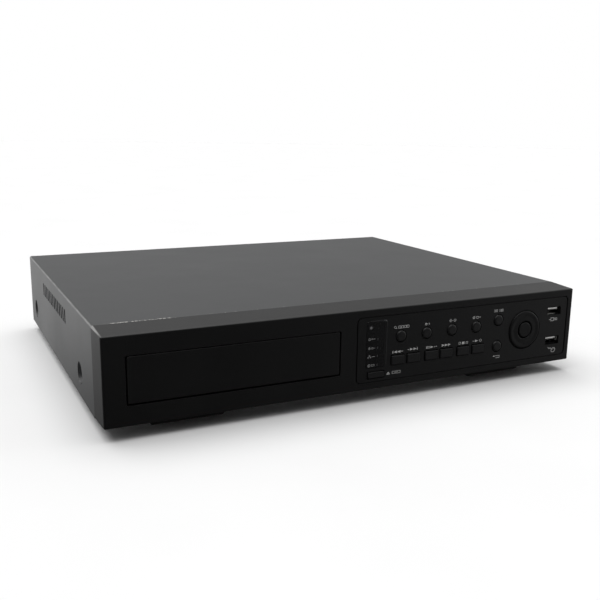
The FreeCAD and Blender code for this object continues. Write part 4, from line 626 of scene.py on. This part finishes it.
# second functions: a cog and a plus
s = Print("print_function", FACE, LIGHT_INK, fit=(48.4, 45.0, 0.9, 0.78))
s.ring(46.9, 45.0, 0.72, 0.32)
for k in range(8):
    a = k * math.pi / 4
    s.line([(46.9 + 0.85 * math.cos(a), 45.0 + 0.85 * math.sin(a)), (46.9 + 1.35 * math.cos(a), 45.0 + 1.35 * math.sin(a))], 0.36)
s.bar(49.0, 44.8, 50.6, 45.2)
s.bar(49.6, 44.2, 50.0, 45.8)
s.done()

# camera steering: four ways and a round lens
s = Print("print_steer", FACE, LIGHT_INK, fit=(70.8, 45.4, 0.95, 0.82))
s.tri(67.9, 45.4, 0.8, 1.2, "left")
s.tri(70.3, 45.4, 0.8, 1.2, "right")
s.tri(69.1, 46.5, 1.2, 0.8, "up")
s.tri(69.1, 44.3, 1.2, 0.8, "down")
s.dot(69.1, 45.4, 0.35)
s.ring(73.0, 45.4, 1.05, 0.32)
s.dot(73.0, 45.4, 0.32)
s.done()

# record: ring and dot, then a camera
s = Print("print_record", FACE, LIGHT_INK, fit=(93.0, 45.6, 0.95, 0.85))
s.ring(90.6, 45.6, 1.1, 0.32)
s.dot(90.6, 45.6, 0.55)
s.frame(93.0, 44.8, 95.2, 46.4, 0.32)
s.tri(96.3, 45.6, 1.2, 1.5, "left")
s.done()

# menu: two columns of listed lines
s = Print("print_menu", FACE, LIGHT_INK, fit=(114.0, 49.0, 0.93, 0.72))
for r in (-1, 0, 1):
    z = 49.0 + r * 1.02
    for c, long in ((109.4, 3.0), (114.9, 3.4)):
        s.bar(c, z - 0.24, c + 0.5, z + 0.24)
        s.bar(c + 0.85, z - 0.21, c + 0.85 + long, z + 0.21)
s.done()

# leave: an arrow that turns back
s = Print("print_leave", FACE, LIGHT_INK, fit=(114.6, 11.9, 0.95, 0.9))
s.line([(117.9, 11.0), (117.9, 12.8), (112.6, 12.8)], 0.38)
s.tri(111.9, 12.8, 1.5, 1.7, "left")
s.line([(117.9, 11.0), (114.2, 11.0)], 0.38)
s.done()

# back, next, slow, fast, stop, play
s = Print("print_back", FACE, LIGHT_INK, fit=(23.2, 26.8, 0.95, 0.85))
s.bar(18.5, 25.55, 19.15, 27.85)
s.tri(21.0, 26.7, 2.9, 2.3, "left")
s.tri(24.2, 26.7, 2.9, 2.3, "left")
s.bar(26.2, 26.45, 28.0, 26.95)
s.done()
s = Print("print_next", FACE, LIGHT_INK, fit=(36.1, 27.3, 0.95, 0.85))
s.bar(31.6, 27.05, 33.2, 27.55)
s.tri(35.1, 27.3, 2.8, 2.3, "right")
s.tri(38.2, 27.3, 2.8, 2.3, "right")
s.bar(40.0, 26.15, 40.6, 28.45)
s.done()
s = Print("print_slow", FACE, LIGHT_INK, fit=(52.9, 27.0, 0.95, 0.85))
for k in range(3):
    s.bar(47.8 + k * 1.25, 25.8, 48.35 + k * 1.25, 28.0)
s.tri(53.2, 26.9, 2.8, 2.3, "right")
s.bar(55.3, 26.65, 56.5, 27.15)
s.bar(57.0, 26.65, 58.1, 27.15)
s.done()
s = Print("print_fast", FACE, LIGHT_INK, fit=(66.2, 27.0, 0.95, 0.85))
for k in range(3):
    s.tri(63.3 + k * 2.9, 27.0, 2.7, 2.3, "right")
s.done()
s = Print("print_stop", FACE, LIGHT_INK, fit=(81.9, 26.9, 0.95, 0.8))
s.frame(77.5, 25.95, 79.3, 27.75, 0.32)
s.bar(80.7, 25.65, 83.1, 28.0)
s.frame(84.6, 25.95, 86.4, 27.75, 0.32)
s.done()
s = Print("print_play", FACE, LIGHT_INK, fit=(95.2, 27.1, 0.95, 0.85))
s.bar(90.8, 26.85, 92.3, 27.35)
s.tri(94.5, 27.1, 2.9, 2.4, "right")
s.ring(98.3, 27.1, 1.05, 0.32)
s.done()

# eject: a wedge over a bar, and an open tray
s = Print("print_eject", FACE, LIGHT_INK, fit=(20.0, 11.2, 0.95, 0.8))
s.tri(15.4, 11.8, 3.0, 1.5, "up")
s.bar(13.9, 10.15, 16.9, 10.65)
s.frame(19.0, 10.4, 26.3, 12.5, 0.32)
s.bar(21.0, 11.25, 24.3, 11.65)
s.done()

# a plug for data sticks, drawn as an outline
s = Print("print_stick", FACE, LIGHT_INK)
s.line([(166.5, 36.75), (168.0, 36.75)], 0.5)
s.frame(168.3, 35.55, 171.3, 37.95, 0.42)
s.frame(171.6, 36.05, 174.7, 37.45, 0.38)
s.bar(172.7, 36.3, 173.2, 37.2)
s.done()

# a pointing device on its lead
s = Print("print_pointer", FACE, LIGHT_INK)
cx, cz, tilt = 173.3, 10.85, math.radians(28)
oval = []
for k in range(24):
    a = 2 * math.pi * k / 24
    u, v = 2.05 * math.cos(a), 1.75 * math.sin(a)
    oval.append((u * math.cos(tilt) - v * math.sin(tilt), u * math.sin(tilt) + v * math.cos(tilt)))
s.band([(cx + 1.12 * u, cz + 1.12 * v) for u, v in oval], [(cx + 0.86 * u, cz + 0.86 * v) for u, v in oval], True)
s.line([(171.6, 11.6), (170.2, 12.9), (168.9, 12.3), (167.6, 13.6)], 0.45)
s.line([(171.7, 11.2), (174.0, 12.0)], 0.32)
s.done()

# four faint arrow heads on the steering ring
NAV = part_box("nav_ring")
nx, nz = (NAV[0].x + NAV[1].x) / 2 / MM, (NAV[0].z + NAV[1].z) / 2 / MM - FOOT
s = Print("ring_arrows", NAV[0].y, ink("ring_ink", (0.0008, 0.0008, 0.0009), (0.0012, 0.0012, 0.0013)), body="nav_ring",
          over=NODES["nav_ring"])
s.tri(nx, nz + 11.6, 1.5, 1.1, "up")
s.tri(nx, nz - 11.6, 1.5, 1.1, "down")
s.tri(nx - 11.6, nz, 1.1, 1.5, "left")
s.tri(nx + 11.6, nz, 1.1, 1.5, "right")
s.done()

# four signs on the smoked window, and the tick beside each
s = Print("print_lamps", LENS, DIM_INK)
s.ring(-1.0, 38.4, 0.80, 0.40, 120, 420)
s.bar(-1.2, 38.5, -0.8, 39.6)
s.bar(0.5, 38.0, 1.0, 39.1)
s.bar(1.4, 38.0, 1.9, 39.1)
s.bar(2.3, 38.3, 3.6, 38.8)
s.ring(-1.0, 31.8, 0.80, 0.36)
s.dot(-1.0, 31.8, 0.40)
s.frame(0.8, 31.3, 2.1, 32.3, 0.36)
s.bar(2.6, 31.6, 3.6, 32.0)
for x, z in ((-1.8, 25.0), (0.2, 25.0), (-0.8, 26.4)):
    s.frame(x - 0.3, z - 0.3, x + 0.3, z + 0.3, 0.34)
s.line([(-0.8, 26.2), (-0.8, 25.7)], 0.3)
s.line([(-1.8, 25.65), (0.2, 25.65)], 0.3)
s.bar(1.2, 25.2, 3.6, 25.7)
s.ring(-0.9, 19.0, 1.0, 0.38)
s.ring(-0.9, 19.0, 0.38, 0.34)
s.frame(1.0, 18.5, 3.4, 19.5, 0.36)
s.done()
s = Print("lamp_ticks", LENS, LAMP_MARK)
for z in (38.0, 31.8, 25.6, 19.0):
    s.bar(5.55, z - 0.8, 6.1, z + 0.8)
s.done()
s = Print("receiver_face", LENS, EYE)
s.dot(0.0, 46.9, 0.8, 28)
s.ring(0.0, 46.9, 1.15, 0.16)
s.done()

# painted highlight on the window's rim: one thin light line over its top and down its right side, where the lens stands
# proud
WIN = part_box("status_window")
wx0, wx1 = WIN[0].x / MM, WIN[1].x / MM
wz0, wz1 = WIN[0].z / MM - FOOT, WIN[1].z / MM - FOOT
s = Print("window_rim_highlight", LENS, ink("window_rim_highlight", (0.050, 0.050, 0.052), (0.03, 0.03, 0.03)))
s.line([(wx0 + 4.5, wz1 - 0.35), (wx1 - 1.5, wz1 - 0.35)], 0.26)
s.line([(wx1 - 0.35, wz1 - 1.5), (wx1 - 0.35, wz0 + 3.0)], 0.20)
s.done()
s = Print("window_glint", LENS, ink("window_glint", (0.16, 0.16, 0.165), (0.10, 0.10, 0.10)))
s.line([(wx1 - 3.4, wz1 - 0.4), (wx1 - 1.4, wz1 - 0.45), (wx1 - 0.6, wz1 - 1.5)], 0.42)
s.done()


# ------------------------------------------------------------------ floor and light
def floor():
    me = bpy.data.meshes.new("floor")
    half = 9.0
    me.from_pydata([(-half, -half, 0), (half, -half, 0), (half, half, 0), (-half, half, 0)], [], [(0, 1, 2, 3)])
    ob = bpy.data.objects.new("floor", me)
    scene.collection.objects.link(ob)
    p = Paint("floor_paper")
    base = p.mix(p.spread(p.noise(120, 3), 0.3, 0.7), (0.86, 0.86, 0.86), (0.88, 0.88, 0.88))
    p.relief((p.noise(2.0, 2), 0.01))
    me.materials.append(p.set(base, p.spread(p.noise(80, 2), 0.3, 0.7, 0.85, 0.92), spec=0.1))
    return ob


floor().visible_glossy = False


def backdrop():
    """A pale round wall far behind, all the way round: only the background that is seen past the floor."""
    n, r, low, high = 64, 8.5, -0.5, 7.0
    ring = [(r * math.cos(2 * math.pi * k / n), r * math.sin(2 * math.pi * k / n)) for k in range(n)]
    me = bpy.data.meshes.new("backdrop")
    me.from_pydata([(x, y, low) for x, y in ring] + [(x, y, high) for x, y in ring] + [(0, 0, high)], [],
                   [(k, (k + 1) % n, n + (k + 1) % n, n + k) for k in range(n)]
                   + [(n + k, n + (k + 1) % n, 2 * n) for k in range(n)])
    ob = bpy.data.objects.new("backdrop", me)
    scene.collection.objects.link(ob)
    mat = bpy.data.materials.new("backdrop")
    mat.use_nodes = True
    nt = mat.node_tree
    nt.nodes.clear()
    out = nt.nodes.new("ShaderNodeOutputMaterial")
    em = nt.nodes.new("ShaderNodeEmission")
    em.inputs["Color"].default_value = (1, 1, 1, 1)
    em.inputs["Strength"].default_value = 1.0
    nt.links.new(em.outputs[0], out.inputs["Surface"])
    me.materials.append(mat)
    for kind in ("diffuse", "glossy", "transmission", "volume_scatter", "shadow"):
        setattr(ob, "visible_" + kind, False)


backdrop()


def sky():
    """A studio with white cards behind and to the left, a wide light overhead and a dark room in front."""
    w = bpy.data.worlds.new("studio")
    scene.world = w
    w.use_nodes = True
    nt = w.node_tree
    nt.nodes.clear()
    out = nt.nodes.new("ShaderNodeOutputWorld")
    bg = nt.nodes.new("ShaderNodeBackground")
    co = nt.nodes.new("ShaderNodeTexCoord").outputs["Generated"]
    sep = nt.nodes.new("ShaderNodeSeparateXYZ")
    nt.links.new(co, sep.inputs[0])

    def toward(x, y, z=0.0):
        n = nt.nodes.new("ShaderNodeVectorMath")
        n.operation = "DOT_PRODUCT"
        nt.links.new(co, n.inputs[0])
        n.inputs[1].default_value = Vector((x, y, z)).normalized()
        return n.outputs["Value"]

    def ramp(src, lo, hi, a, b):
        m = nt.nodes.new("ShaderNodeMapRange")
        m.interpolation_type = "SMOOTHSTEP"
        nt.links.new(src, m.inputs["Value"])
        m.inputs["From Min"].default_value = lo
        m.inputs["From Max"].default_value = hi
        m.inputs["To Min"].default_value = a
        m.inputs["To Max"].default_value = b
        return m.outputs["Result"]

    def calc(op, a, b):
        m = nt.nodes.new("ShaderNodeMath")
        m.operation = op
        for i, v in enumerate((a, b)):
            if isinstance(v, float):
                m.inputs[i].default_value = v
            else:
                nt.links.new(v, m.inputs[i])
        return m.outputs[0]

    cards = calc("MULTIPLY", ramp(toward(-0.25, 0.97), -0.10, 0.45, 0.0, 1.0), ramp(toward(-0.25, 0.97), 0.60, 0.95, 0.84, 1.0))
    cards = calc("MULTIPLY", cards, ramp(sep.outputs["Z"], 0.00, 0.28, 1.0, 0.26))
    cards = calc("MULTIPLY", cards, ramp(sep.outputs["Z"], -0.35, -0.19, 0.0, 1.08))
    window = calc("MULTIPLY", ramp(toward(0.96, 0.10, 0.26), 0.74, 0.96, 0.0, 0.9), ramp(sep.outputs["Z"], -0.15, 0.10, 0.0, 1.0))
    ceiling = ramp(sep.outputs["Z"], 0.50, 0.86, 0.0, 0.50)
    right = ramp(toward(0.90, -0.42), 0.75, 1.0, 0.0, 0.30)
    total = calc("ADD", calc("ADD", cards, window), calc("ADD", ceiling, calc("ADD", right, 0.06)))
    nt.links.new(total, bg.inputs["Strength"])
    bg.inputs["Color"].default_value = (1.0, 1.0, 1.0, 1.0)
    nt.links.new(bg.outputs["Background"], out.inputs["Surface"])


sky()


def softbox(name, place, target, size, power):
    d = bpy.data.lights.new(name, "AREA")
    d.shape = "RECTANGLE"
    d.size, d.size_y = size
    d.energy = power
    ob = bpy.data.objects.new(name, d)
    scene.collection.objects.link(ob)
    ob.location = place
    ob.rotation_mode = "QUATERNION"
    ob.rotation_quaternion = (Vector(target) - Vector(place)).to_track_quat("-Z", "Y")
    return ob


def overhead(power, angle):
    """One very wide, even light from straight above."""
    d = bpy.data.lights.new("overhead", "SUN")
    d.energy = power
    d.angle = angle
    ob = bpy.data.objects.new("overhead", d)
    scene.collection.objects.link(ob)
    ob.location = (0, 0, 2)
    ob.rotation_euler = (math.radians(-6), math.radians(-8), 0)


overhead(2.1, 1.2)
